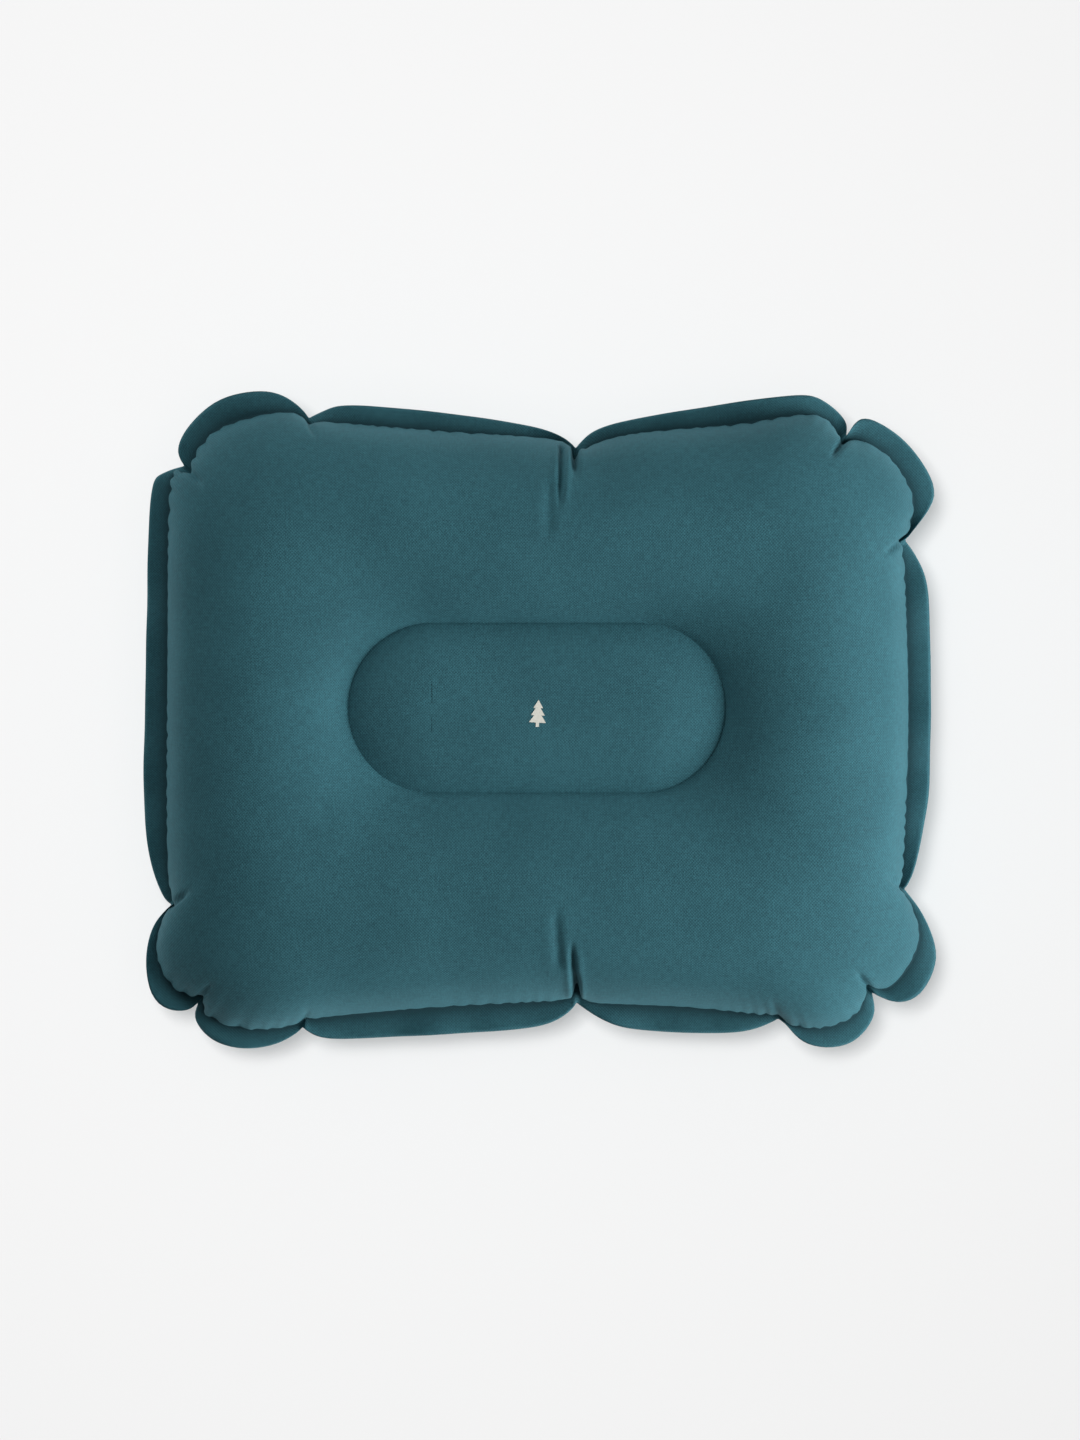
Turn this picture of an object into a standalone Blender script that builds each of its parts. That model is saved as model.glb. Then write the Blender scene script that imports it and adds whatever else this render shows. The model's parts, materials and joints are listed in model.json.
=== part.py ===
"""Inflatable camp pillow: two welded skins, an inner web and a push-in air valve.

Metres, +Z up, +X along the long side. The pillow lies on its back on z = 0, and the
origin is below the middle of its outline. Sizes in the constants are millimetres.
"""

import math

import bmesh
import bpy
from mathutils import Matrix, Vector

MM = 0.001

# Pillow, blown up
LENGTH = 400.0
WIDTH = 331.4
THICKNESS = 104.0
SKIN_WALL = 0.5
CLEARANCE = 0.3             # gap between pieces that touch
NOTCH_FLANGE = 2.0          # flange left where a fold of the edge meets the weld
EDGE_STEP = 14.0            # spacing of the points along the outline

# Centre web, which ties the two skins together along a long capsule
CAPSULE_CENTRE = (-1.5, 6.0)
CAPSULE_LENGTH = 188.0
CAPSULE_WIDTH = 84.0
WEB_HEIGHT = 60.0
CAPSULE_CROWN = 8.0
CROWN_SHARE = 0.54          # of the capsule's half width, level on top
WEB_COLUMNS = 48
WEB_ROWS = 3
VENT_EVERY = 6              # one window in the web for each so many columns

# Section of the air tube round the web, as angles from level at the weld
CREST_HALF_ANGLE = 12.0
OUTER_SHARES = (0.34, 0.71)     # of the way round from the crest to the weld
INNER_ANGLE = 125.0

# Valve in the lower skin at the +X end
VALVE_RUN = 27.4            # from the weld to the valve's axis, round the skin
VALVE_SINK = 1.5            # how far the flat seat is drawn in from the round skin
VALVE_FLAT_RADIUS = 26.0
VALVE_BLEND_RADIUS = 38.0
WELD_MARGIN = 1.0           # left as it is next to the weld
SEAT_MOUTH_RADIUS = 10.6    # of the cone that the plug sits in
SEAT_TAPER = 1.2
NECK_WALL = 2.0
NECK_HEIGHT = 5.0
BASE_LIP = 5.4
BASE_WALL = 1.0
PATCH_LIP = 8.4
PATCH_WALL = 0.5

# Ring round the neck that carries the plug's strap
COLLAR_WALL = 1.8
COLLAR_HEIGHT = 2.0
COLLAR_FOOT = 1.1
STRAP_WIDTH = 6.0
STRAP_WALL = 1.2
HINGE_RADIUS = 1.0
HINGE_STANDOFF = 2.3        # hinge line from the collar's outer face

# Plug that empties the pillow, with a bore for blowing it up
PLUG_DEPTH = 6.5
PLUG_TAPER = 1.9
PLUG_WALL = 1.4
RIM_OVERLAP = 0.2
RIM_WALL = 1.5
BORE_MOUTH_RADIUS = 6.2
BORE_TAPER = 0.4
BORE_THROAT_DEPTH = 4.0
CHAMBER_SLOPE = 1.0
BOSS_WALL = 2.2
BOSS_HEIGHT = 1.5
HUB_RADIUS = 2.6
HUB_WALL = 1.2
HUB_OVERLAP = 0.5
SPOKE_WIDTH = 1.6
SPOKES = 3
TAB_LENGTH = 5.5
TAB_WIDTH = 7.0

# One-way flap behind the plug
FLAP_MARGIN = 0.6           # of the plug's foot round the flap
FLAP_WALL = 0.6
STEM_RADIUS = 0.9
STEM_HEAD_RADIUS = 1.6
STEM_HEAD_WALL = 0.8
FLAP_LIFT = 1.2

# Cap on the plug's bore
CAP_LIP = 0.4
CAP_WALL = 1.4
CAP_BOSS_DEPTH = 3.5
CAP_BOSS_TAPER = 1.0
CAP_BOSS_WALL = 1.5
CAP_HINGE_STANDOFF = 2.6
CAP_HINGE_RADIUS = 0.8
CAP_STRAP_WIDTH = 4.0
CAP_STRAP_WALL = 1.0
CAP_TAB_LENGTH = 4.0
CAP_TAB_WIDTH = 5.0

# Printed mark, a plain fir tree
MARK_CENTRE = (-1.0, 3.3)
MARK_TURN = -3.0
MARK_WALL = 0.2
MARK_OUTLINE = ((0.8, -6.7), (0.8, -4.6), (4.2, -4.6), (1.8, -1.0), (3.4, -1.0), (1.2, 2.6),
                (2.4, 2.6), (0.0, 6.7))

ROUND_STEPS = 40
SMALL_STEPS = 20
JOIN_OVERLAP = 1.5          # how far a strap, tab or foot runs into the ring it grows from
CUTTER_REACH = 12.0

TEAL_SKIN = ("teal_laminate", (0.032, 0.100, 0.125), 0.75)
WEB_FILM = ("web_film", (0.30, 0.36, 0.38), 0.5)
DARK_TPU = ("dark_tpu", (0.020, 0.045, 0.055), 0.45)
CLEAR_SILICONE = ("silicone", (0.55, 0.60, 0.60), 0.3)
PRINT_INK = ("print_ink", (0.80, 0.79, 0.74), 0.6)

# The edge is gathered at twelve places. Each lobe starts at its gather, whose place is
# (side, in from that side) along X and then Y, where side 0 measures from the middle.
# Between two gathers, (share of the way, distance out) gives the cut edge and the weld.
LOBES = (
    ("right", (1, 16.1, -1, 80.7),
     ((0.055, 5.0), (0.2, 10.4), (0.33, 12.9), (0.71, 12.9), (0.88, 11.0), (0.96, 5.0)),
     ((0.5, 1.0),)),
    ("upper_right_corner", (1, 15.6, 1, 75.2),
     ((0.14, 20.0), (0.3, 26.5), (0.6, 26.0), (0.85, 21.5), (1.07, 11.5)),
     ((0.1, 6.0), (0.3, 13.5), (0.65, 13.0), (0.9, 5.0))),
    ("upper_right", (1, 45.4, 1, 22.7),
     ((0.0, 8.0), (0.085, 19.0), (0.2, 21.8), (0.58, 16.6), (0.9, 10.4)),
     ((0.12, 10.8), (0.4, 7.4), (0.8, 5.0))),
    ("upper_left", (0, 17.9, 1, 28.8),
     ((0.06, 5.0), (0.21, 9.0), (0.57, 10.1), (0.86, 8.6), (0.94, 5.0)),
     ((0.1, 2.5), (0.5, 0.0))),
    ("upper_left_corner", (-1, 83.2, 1, 13.6),
     ((0.03, 6.0), (0.12, 15.0), (0.28, 21.7), (0.58, 24.8), (0.85, 18.5), (1.0, 9.0)),
     ((0.1, 5.0), (0.35, 9.5), (0.7, 9.5))),
    ("left", (-1, 20.2, 1, 37.8),
     ((0.02, 11.0), (0.08, 17.0), (0.5, 16.0), (0.73, 15.8), (0.89, 11.9), (0.98, 4.5)),
     ((0.06, 6.0), (0.5, 4.3), (0.9, 1.8))),
    ("lower_left_corner", (-1, 13.6, -1, 72.6),
     ((0.15, 11.6), (0.45, 19.4), (0.8, 21.5), (0.98, 15.5), (1.04, 6.0)),
     ((0.12, 6.0), (0.4, 12.9), (0.75, 10.0))),
    ("lower_left_ear", (-1, 27.2, -1, 23.2),
     ((0.0, 8.5), (0.2, 16.7), (0.5, 17.5), (0.78, 12.0), (0.95, 4.0)),
     ((0.1, 4.0), (0.4, 7.0), (0.7, 4.5))),
    ("lower_left", (-1, 80.2, -1, 11.1),
     ((0.08, 7.0), (0.31, 8.8), (0.76, 10.8), (0.9, 8.8), (0.97, 4.0)),
     ((0.05, -4.0), (0.5, -4.4), (0.9, -2.5))),
    ("lower_right", (0, 18.4, -1, 23.2),
     ((0.12, 6.7), (0.3, 11.3), (0.72, 9.5), (0.9, 5.5)),
     ((0.1, -1.0), (0.5, -2.7), (0.9, -2.0))),
    ("lower_right_ear", (1, 79.7, -1, 15.1),
     ((0.06, 3.5), (0.17, 14.0), (0.4, 20.5), (0.69, 21.4), (0.96, 11.7)),
     ((0.1, 4.0), (0.4, 9.6), (0.75, 8.0))),
    ("lower_right_corner", (1, 32.3, -1, 28.3),
     ((-0.02, 12.5), (0.1, 22.7), (0.39, 26.7), (0.61, 22.9), (0.85, 11.5)),
     ((0.1, 7.0), (0.4, 13.5), (0.7, 12.5))),
)


# ---------------------------------------------------------------- outline

def gather_point(place):
    """Where a gather of the edge lies, from its distances in from the sides."""
    side_x, in_x, side_y, in_y = place
    x = side_x * (LENGTH / 2 - in_x) if side_x else in_x
    y = side_y * (WIDTH / 2 - in_y) if side_y else in_y
    return Vector((x, y))


def smooth_curve(points, steps=12):
    """A Catmull-Rom curve through the points."""
    ends = [points[0] * 2 - points[1]] + points + [points[-1] * 2 - points[-2]]
    curve = []
    for before, start, end, after in zip(ends, ends[1:], ends[2:], ends[3:]):
        for step in range(steps):
            t = step / steps
            curve.append(0.5 * (2 * start + (end - before) * t
                                + (2 * before - 5 * start + 4 * end - after) * t ** 2
                                + (3 * start - before - 3 * end + after) * t ** 3))
    return curve + [points[-1]]


def even_points(curve, count):
    """Points along a curve, the same distance apart, without the last one."""
    lengths = [0.0]
    for start, end in zip(curve, curve[1:]):
        lengths.append(lengths[-1] + (end - start).length)
    points = []
    segment = 0
    for index in range(count):
        target = lengths[-1] * index / count
        while lengths[segment + 1] < target:
            segment += 1
        share = (target - lengths[segment]) / (lengths[segment + 1] - lengths[segment])
        points.append(curve[segment].lerp(curve[segment + 1], share))
    return points


def on_spine(point):
    """The nearest point of the capsule's middle line."""
    middle = Vector(CAPSULE_CENTRE)
    reach = (CAPSULE_LENGTH - CAPSULE_WIDTH) / 2
    return middle + Vector((max(-reach, min(reach, point.x - middle.x)), 0.0))


def weld_gather(point):
    """The weld at a gather, just inside the fold of the flange."""
    return point + (on_spine(point) - point).normalized() * NOTCH_FLANGE


def outline():
    """The cut edge and the weld, as matching lists of points, counterclockwise."""
    edge, weld = [], []
    for lobe, following in zip(LOBES, LOBES[1:] + LOBES[:1]):
        start, end = gather_point(lobe[1]), gather_point(following[1])
        along = end - start
        out = Vector((along.y, -along.x)).normalized()
        edge_points = [start] + [start + along * t + out * d for t, d in lobe[2]] + [end]
        weld_points = [start + along * t + out * d for t, d in lobe[3]]
        weld_points = [weld_gather(start)] + weld_points + [weld_gather(end)]
        edge_curve = smooth_curve(edge_points)
        run = sum((b - a).length for a, b in zip(edge_curve, edge_curve[1:]))
        count = max(5, round(run / EDGE_STEP))
        edge += even_points(edge_curve, count)
        weld += even_points(smooth_curve(weld_points), count)
    return fitted(edge, weld)


def fitted(edge, weld):
    """Both lines, moved and stretched so that the edge has the exact overall size."""
    low = Vector((min(p.x for p in edge), min(p.y for p in edge)))
    high = Vector((max(p.x for p in edge), max(p.y for p in edge)))
    middle = (low + high) / 2
    scale = Vector((LENGTH / (high.x - low.x), WIDTH / (high.y - low.y)))

    def fit(point):
        return Vector(((point.x - middle.x) * scale.x, (point.y - middle.y) * scale.y))

    return [fit(point) for point in edge], [fit(point) for point in weld]


# ---------------------------------------------------------------- tube section

SEAM_Z = THICKNESS / 2
SKIN_HALF_HEIGHT = THICKNESS / 2 - SKIN_WALL / 2
FLANGE_OFFSET = (CLEARANCE + SKIN_WALL) / 2


def tube_section(span):
    """Centre height, radius and run to the weld of the round section for one span."""
    crest = math.sin(math.radians(90 - CREST_HALF_ANGLE))
    low, high = -SKIN_HALF_HEIGHT, SKIN_HALF_HEIGHT / 2
    for _ in range(60):
        centre = (low + high) / 2
        radius = (SKIN_HALF_HEIGHT - centre) / crest
        out = math.sqrt(max(0.0, radius ** 2 - (centre - FLANGE_OFFSET) ** 2))
        back = math.sqrt(max(0.0, radius ** 2 - (WEB_HEIGHT / 2 - centre) ** 2))
        if out + back > span:
            low = centre
        else:
            high = centre
    return centre, radius, out


def side_span():
    """Level distance from the web to the weld at the middle of the +X end."""
    return weld_at_end() - CAPSULE_CENTRE[0] - CAPSULE_LENGTH / 2


def weld_at_end():
    """X of the weld where it crosses y = 0 at the +X end."""
    _, weld = outline()
    for start, end in zip(weld, weld[1:] + weld[:1]):
        if start.x > 0 and start.y <= 0 < end.y:
            share = -start.y / (end.y - start.y)
            return start.lerp(end, share).x
    return LENGTH / 2


def skin_rings():
    """Rings of the upper skin from the capsule's middle to the cut edge, about z = 0."""
    edge, weld = outline()
    span = side_span()
    centre, radius, out = tube_section(span)
    crest = 90 - CREST_HALF_ANGLE
    foot = math.degrees(math.asin((FLANGE_OFFSET - centre) / radius))
    angles = [INNER_ANGLE, 90 + CREST_HALF_ANGLE, crest]
    angles += [crest + (foot - crest) * share for share in OUTER_SHARES]
    rings = [[] for _ in range(len(angles) + 4)]
    for cut, seam in zip(edge, weld):
        root = on_spine(seam)
        ray = (seam - root).normalized()
        reach = (seam - root).length - CAPSULE_WIDTH / 2
        crown = WEB_HEIGHT / 2 + CAPSULE_CROWN
        rings[0].append((*(root + ray * CAPSULE_WIDTH / 2 * CROWN_SHARE), crown))
        rings[1].append((*(root + ray * CAPSULE_WIDTH / 2), WEB_HEIGHT / 2))
        for ring, angle in zip(rings[2:], angles):
            turn = math.radians(angle)
            from_seam = (out - radius * math.cos(turn)) * reach / span
            ring.append((*(seam - ray * from_seam), centre + radius * math.sin(turn)))
        rings[-2].append((*seam, FLANGE_OFFSET))
        rings[-1].append((*cut, FLANGE_OFFSET))
    return rings


# ---------------------------------------------------------------- helpers

def material(finish):
    name, colour, roughness = finish
    found = bpy.data.materials.get(name)
    if found:
        return found
    made = bpy.data.materials.new(name)
    made.use_nodes = True
    shader = made.node_tree.nodes["Principled BSDF"]
    shader.inputs["Base Color"].default_value = (*colour, 1.0)
    shader.inputs["Roughness"].default_value = roughness
    shader.inputs["Metallic"].default_value = 0.0
    made.diffuse_color = (*colour, 1.0)
    return made


def add_object(name, bm, finish, parent=None, smooth=True):
    """An object from a bmesh in millimetres, in its parent's frame."""
    bmesh.ops.scale(bm, vec=(MM, MM, MM), verts=bm.verts)
    mesh = bpy.data.meshes.new(name)
    bm.to_mesh(mesh)
    bm.free()
    if smooth:
        mesh.shade_smooth()
        mesh.set_sharp_from_angle(angle=math.radians(30))
    mesh.materials.append(material(finish))
    made = bpy.data.objects.new(name, mesh)
    bpy.context.scene.collection.objects.link(made)
    if parent:
        made.parent = parent
    return made


def add_frame(name, matrix, parent=None):
    """An empty that holds a frame, given in metres."""
    empty = bpy.data.objects.new(name, None)
    bpy.context.scene.collection.objects.link(empty)
    if parent:
        empty.parent = parent
    empty.matrix_basis = matrix
    return empty


def turned(profile, steps, closed=True):
    """A solid of revolution about Z from (radius, height) points."""
    bm = bmesh.new()
    verts = [bm.verts.new((radius, 0.0, height)) for radius, height in profile]
    edges = [bm.edges.new(pair) for pair in zip(verts, verts[1:])]
    if closed:
        edges.append(bm.edges.new((verts[-1], verts[0])))
    bmesh.ops.spin(bm, geom=verts + edges, cent=(0, 0, 0), axis=(0, 0, 1), dvec=(0, 0, 0),
                   angle=2 * math.pi, steps=steps, use_merge=True, use_duplicate=False)
    bmesh.ops.remove_doubles(bm, verts=bm.verts, dist=0.0001)
    bmesh.ops.recalc_face_normals(bm, faces=bm.faces)
    return bm


def box(low, high):
    """A box between two corners."""
    bm = bmesh.new()
    bmesh.ops.create_cube(bm, size=1.0)
    size = [b - a for a, b in zip(low, high)]
    middle = [(a + b) / 2 for a, b in zip(low, high)]
    bmesh.ops.scale(bm, vec=size, verts=bm.verts)
    bmesh.ops.translate(bm, vec=middle, verts=bm.verts)
    return bm


def barrel(radius, width, along, centre):
    """A short round bar along X or Y."""
    bm = bmesh.new()
    turn = Matrix.Rotation(math.pi / 2, 4, "Y" if along == "X" else "X")
    bmesh.ops.create_cone(bm, cap_ends=True, segments=SMALL_STEPS, radius1=radius,
                          radius2=radius, depth=width, matrix=turn)
    bmesh.ops.translate(bm, vec=centre, verts=bm.verts)
    return bm


def boolean(target, name, bm, operation):
    """Adds a shape to an object, or cuts it away."""
    tool = add_object(name, bm, DARK_TPU, target.parent)
    tool.matrix_basis = target.matrix_basis.copy()
    tool.hide_render = True
    tool.display_type = "WIRE"
    modifier = target.modifiers.new(name, "BOOLEAN")
    modifier.operation = operation
    modifier.solver = "EXACT"
    modifier.object = tool
    return tool


# ---------------------------------------------------------------- skins

def valve_matrix():
    """The valve's frame in metres: origin on the skin, +Z out, +X along world +Y."""
    centre, radius, out = tube_section(side_span())
    tilt = math.asin((FLANGE_OFFSET - centre) / radius) + VALVE_RUN / radius
    reach = radius + SKIN_WALL / 2 - VALVE_SINK
    x = weld_at_end() - out + reach * math.cos(tilt)
    z = SEAM_Z - centre - reach * math.sin(tilt)
    outward = Vector((math.cos(tilt), 0.0, -math.sin(tilt)))
    across = Vector((0.0, 1.0, 0.0))
    up = outward.cross(across)
    turn = Matrix((across, up, outward)).transposed().to_4x4()
    return Matrix.Translation(Vector((x, 0.0, z)) * MM) @ turn


def sheet(side):
    """One skin as an open sheet: side is 1 for the upper one and -1 for the lower."""
    bm = bmesh.new()
    rings = [[bm.verts.new((x, y, SEAM_Z + side * z)) for x, y, z in ring]
             for ring in skin_rings()]
    bm.faces.new(rings[0])
    for inner, outer in zip(rings, rings[1:]):
        for index in range(len(inner)):
            step = (index + 1) % len(inner)
            bm.faces.new((inner[index], outer[index], outer[step], inner[step]))
    if side < 0:
        bmesh.ops.reverse_faces(bm, faces=bm.faces)
    return bm


def flatten_for_valve(bm, matrix):
    """Draws the lower skin flat under the valve, and back to round further out."""
    frame = matrix.copy()
    frame.translation = matrix.translation / MM
    to_valve = frame.inverted()

    def near(point, reach):
        local = to_valve @ point
        return math.hypot(local.x, local.y) < reach and abs(local.z) < VALVE_BLEND_RADIUS

    edges = [edge for edge in bm.edges
             if any(near(vert.co, VALVE_FLAT_RADIUS) for vert in edge.verts)]
    bmesh.ops.subdivide_edges(bm, edges=edges, cuts=3, use_grid_fill=True)
    weld_z = SEAM_Z - FLANGE_OFFSET
    for vert in bm.verts:
        if not near(vert.co, VALVE_BLEND_RADIUS) or vert.co.z > weld_z - WELD_MARGIN:
            continue
        local = to_valve @ vert.co
        reach = math.hypot(local.x, local.y)
        share = (VALVE_BLEND_RADIUS - reach) / (VALVE_BLEND_RADIUS - VALVE_FLAT_RADIUS)
        share = max(0.0, min(1.0, share))
        share = share * share * (3 - 2 * share)
        local.z += (-SKIN_WALL / 2 - local.z) * share
        vert.co = frame @ local
        vert.co.z = max(vert.co.z, SKIN_WALL / 2)


def add_panel(name, side):
    bm = sheet(side)
    if side < 0:
        flatten_for_valve(bm, valve_matrix())
    panel = add_object(name, bm, TEAL_SKIN)
    solidify = panel.modifiers.new("wall", "SOLIDIFY")
    solidify.thickness = SKIN_WALL * MM
    solidify.offset = 0.0
    solidify.use_even_offset = True
    return panel


def build_skins():
    add_panel("top_panel", 1)
    lower = add_panel("bottom_panel", -1)
    radius = NECK_RADIUS + CLEARANCE
    hole = turned([(0, -CUTTER_REACH), (radius, -CUTTER_REACH), (radius, CUTTER_REACH),
                   (0, CUTTER_REACH)], ROUND_STEPS, closed=False)
    cutter = boolean(lower, "valve_hole_cutter", hole, "DIFFERENCE")
    cutter.matrix_basis = valve_matrix()


def build_web():
    """The wall of film inside, welded to both skins along the capsule, with air windows."""
    half = WEB_HEIGHT / 2 - SKIN_WALL / 2 - CLEARANCE
    reach = (CAPSULE_LENGTH - CAPSULE_WIDTH) / 2
    bm = bmesh.new()
    stadium = [Vector((reach, 0.0)) + polar(CAPSULE_WIDTH / 2, -90 + 180 * step / 12)
               for step in range(13)]
    stadium += [Vector((-reach, 0.0)) + polar(CAPSULE_WIDTH / 2, 90 + 180 * step / 12)
                for step in range(13)]
    line = even_points(stadium + stadium[:1], WEB_COLUMNS)
    rows = [[bm.verts.new((p.x, p.y, SEAM_Z - half + 2 * half * row / WEB_ROWS)) for p in line]
            for row in range(WEB_ROWS + 1)]
    for row, (lower, upper) in enumerate(zip(rows, rows[1:])):
        for index in range(WEB_COLUMNS):
            if row == WEB_ROWS // 2 and index % VENT_EVERY == 0:
                continue
            step = (index + 1) % WEB_COLUMNS
            bm.faces.new((lower[index], lower[step], upper[step], upper[index]))
    bmesh.ops.translate(bm, vec=(*CAPSULE_CENTRE, 0.0), verts=bm.verts)
    web = add_object("center_baffle", bm, WEB_FILM)
    solidify = web.modifiers.new("wall", "SOLIDIFY")
    solidify.thickness = SKIN_WALL * MM
    solidify.offset = 0.0


def polar(radius, degrees):
    turn = math.radians(degrees)
    return Vector((radius * math.cos(turn), radius * math.sin(turn)))


def build_mark():
    """The print in the middle of the capsule."""
    left = [(-x, y) for x, y in reversed(MARK_OUTLINE[:-1])]
    top = SEAM_Z + WEB_HEIGHT / 2 + CAPSULE_CROWN + SKIN_WALL / 2 + CLEARANCE
    bm = bmesh.new()
    face = bm.faces.new([bm.verts.new((x, y, 0.0)) for x, y in MARK_OUTLINE + tuple(left)])
    grown = bmesh.ops.extrude_face_region(bm, geom=[face])["geom"]
    bmesh.ops.translate(bm, vec=(0, 0, MARK_WALL),
                        verts=[part for part in grown if isinstance(part, bmesh.types.BMVert)])
    bmesh.ops.recalc_face_normals(bm, faces=bm.faces)
    mark = add_object("print_mark", bm, PRINT_INK, smooth=False)
    mark.location = (MARK_CENTRE[0] * MM, MARK_CENTRE[1] * MM, top * MM)
    mark.rotation_euler = (0.0, 0.0, math.radians(MARK_TURN))


# ---------------------------------------------------------------- valve

# Radii that follow from the seat and the bore
NECK_RADIUS = SEAT_MOUTH_RADIUS + NECK_WALL
COLLAR_RADIUS = NECK_RADIUS + CLEARANCE + COLLAR_WALL
PLUG_HINGE_OUT = COLLAR_RADIUS + HINGE_STANDOFF
RIM_RADIUS = NECK_RADIUS + RIM_OVERLAP
PLUG_TOP_RADIUS = SEAT_MOUTH_RADIUS - CLEARANCE
PLUG_FOOT_RADIUS = PLUG_TOP_RADIUS - PLUG_TAPER
CHAMBER_RADIUS = PLUG_FOOT_RADIUS - PLUG_WALL
BOSS_RADIUS = BORE_MOUTH_RADIUS + BOSS_WALL
CAP_RADIUS = BOSS_RADIUS + CAP_LIP
CAP_HINGE_OUT = CAP_RADIUS + CAP_HINGE_STANDOFF

# Heights above the skin's outer face, along the valve's axis
RIM_FOOT = NECK_HEIGHT + CLEARANCE
RIM_TOP = RIM_FOOT + RIM_WALL
BOSS_TOP = RIM_TOP + BOSS_HEIGHT
PLUG_FOOT = NECK_HEIGHT - PLUG_DEPTH
PLUG_HINGE_HEIGHT = RIM_FOOT + RIM_WALL / 2
CAP_FOOT = BOSS_TOP + CLEARANCE
CAP_HINGE_HEIGHT = CAP_FOOT + CAP_WALL / 2


def build_patch(frame):
    """Ring of skin welded on round the neck, outside."""
    inner = NECK_RADIUS + CLEARANCE
    low = CLEARANCE
    outer = NECK_RADIUS + PATCH_LIP
    ring = [(inner, low), (outer, low), (outer, low + PATCH_WALL), (inner, low + PATCH_WALL)]
    add_object("valve_patch", turned(ring, ROUND_STEPS), TEAL_SKIN, frame)


def build_base(frame):
    """Flange inside the skin, with the neck that passes out through it."""
    top = -SKIN_WALL - CLEARANCE
    low = top - BASE_WALL
    outer = NECK_RADIUS + BASE_LIP
    profile = [(SEAT_MOUTH_RADIUS - SEAT_TAPER, low), (outer, low), (outer, top),
               (NECK_RADIUS, top), (NECK_RADIUS, NECK_HEIGHT), (SEAT_MOUTH_RADIUS, NECK_HEIGHT)]
    add_object("valve_base", turned(profile, ROUND_STEPS), DARK_TPU, frame)


def build_collar(frame):
    """Ring that clips on the neck, with the foot of the plug's strap."""
    inner = NECK_RADIUS + CLEARANCE
    top = COLLAR_FOOT + COLLAR_HEIGHT
    ring = [(inner, COLLAR_FOOT), (COLLAR_RADIUS, COLLAR_FOOT), (COLLAR_RADIUS, top),
            (inner, top)]
    collar = add_object("tether_collar", turned(ring, ROUND_STEPS), DARK_TPU, frame)
    half = STRAP_WIDTH / 2
    end = PLUG_HINGE_OUT + HINGE_RADIUS
    foot = box((COLLAR_RADIUS - COLLAR_WALL / 2, -half, COLLAR_FOOT), (end, half, top))
    boolean(collar, "strap_foot", foot, "UNION")
    post_top = PLUG_HINGE_HEIGHT - HINGE_RADIUS - CLEARANCE
    post = box((PLUG_HINGE_OUT - HINGE_RADIUS, -half, COLLAR_FOOT + COLLAR_HEIGHT / 2),
               (end, half, post_top))
    boolean(collar, "strap_post", post, "UNION")


def build_plug(frame):
    """Hollow stopper with a strap on one side, a pull tab on the other, and three spokes."""
    hinge = Matrix.Translation(Vector((PLUG_HINGE_OUT, 0, PLUG_HINGE_HEIGHT)) * MM)
    pivot = add_frame("plug_hinge", hinge, frame)
    bore_foot = BOSS_TOP - BORE_THROAT_DEPTH
    profile = [(CHAMBER_RADIUS, PLUG_FOOT), (PLUG_FOOT_RADIUS, PLUG_FOOT),
               (PLUG_TOP_RADIUS, NECK_HEIGHT), (PLUG_TOP_RADIUS, RIM_FOOT),
               (RIM_RADIUS, RIM_FOOT),
               (RIM_RADIUS, RIM_TOP), (BOSS_RADIUS, RIM_TOP), (BOSS_RADIUS, BOSS_TOP),
               (BORE_MOUTH_RADIUS, BOSS_TOP), (BORE_MOUTH_RADIUS - BORE_TAPER, bore_foot),
               (CHAMBER_RADIUS, bore_foot - CHAMBER_SLOPE)]
    bm = turned(profile, ROUND_STEPS)
    shift = Vector((-PLUG_HINGE_OUT, 0, -PLUG_HINGE_HEIGHT))
    plug = add_object("deflate_plug", moved(bm, shift), DARK_TPU, pivot)

    for index in range(SPOKES):
        spoke = box((HUB_RADIUS - HUB_OVERLAP, -SPOKE_WIDTH / 2, PLUG_FOOT),
                    ((CHAMBER_RADIUS + PLUG_FOOT_RADIUS) / 2, SPOKE_WIDTH / 2,
                     PLUG_FOOT + HUB_WALL))
        turn = Matrix.Rotation(2 * math.pi * index / SPOKES, 3, "Z")
        bmesh.ops.rotate(spoke, cent=(0, 0, 0), matrix=turn, verts=spoke.verts)
        boolean(plug, f"spoke_{index + 1}", moved(spoke, shift), "UNION")
    inner = STEM_RADIUS + CLEARANCE
    hub = turned([(inner, PLUG_FOOT), (HUB_RADIUS, PLUG_FOOT), (HUB_RADIUS, PLUG_FOOT + HUB_WALL),
                  (inner, PLUG_FOOT + HUB_WALL)], SMALL_STEPS)
    boolean(plug, "hub", moved(hub, shift), "UNION")

    half = STRAP_WIDTH / 2
    low = PLUG_HINGE_HEIGHT - STRAP_WALL / 2
    strap = box((RIM_RADIUS - JOIN_OVERLAP, -half, low), (PLUG_HINGE_OUT, half, low + STRAP_WALL))
    boolean(plug, "strap", moved(strap, shift), "UNION")
    roll = barrel(HINGE_RADIUS, STRAP_WIDTH, "Y", (PLUG_HINGE_OUT, 0, PLUG_HINGE_HEIGHT))
    boolean(plug, "strap_roll", moved(roll, shift), "UNION")
    tab = box((-RIM_RADIUS - TAB_LENGTH, -TAB_WIDTH / 2, low),
              (-RIM_RADIUS + JOIN_OVERLAP, TAB_WIDTH / 2, low + STRAP_WALL))
    boolean(plug, "pull_tab", moved(tab, shift), "UNION")
    post_top = CAP_HINGE_HEIGHT - CAP_HINGE_RADIUS - CLEARANCE
    post = box((-CAP_STRAP_WIDTH / 2, CAP_HINGE_OUT - CAP_HINGE_RADIUS, RIM_TOP - RIM_WALL / 2),
               (CAP_STRAP_WIDTH / 2, CAP_HINGE_OUT + CAP_HINGE_RADIUS, post_top))
    boolean(plug, "cap_strap_post", moved(post, shift), "UNION")
    return pivot


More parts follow.
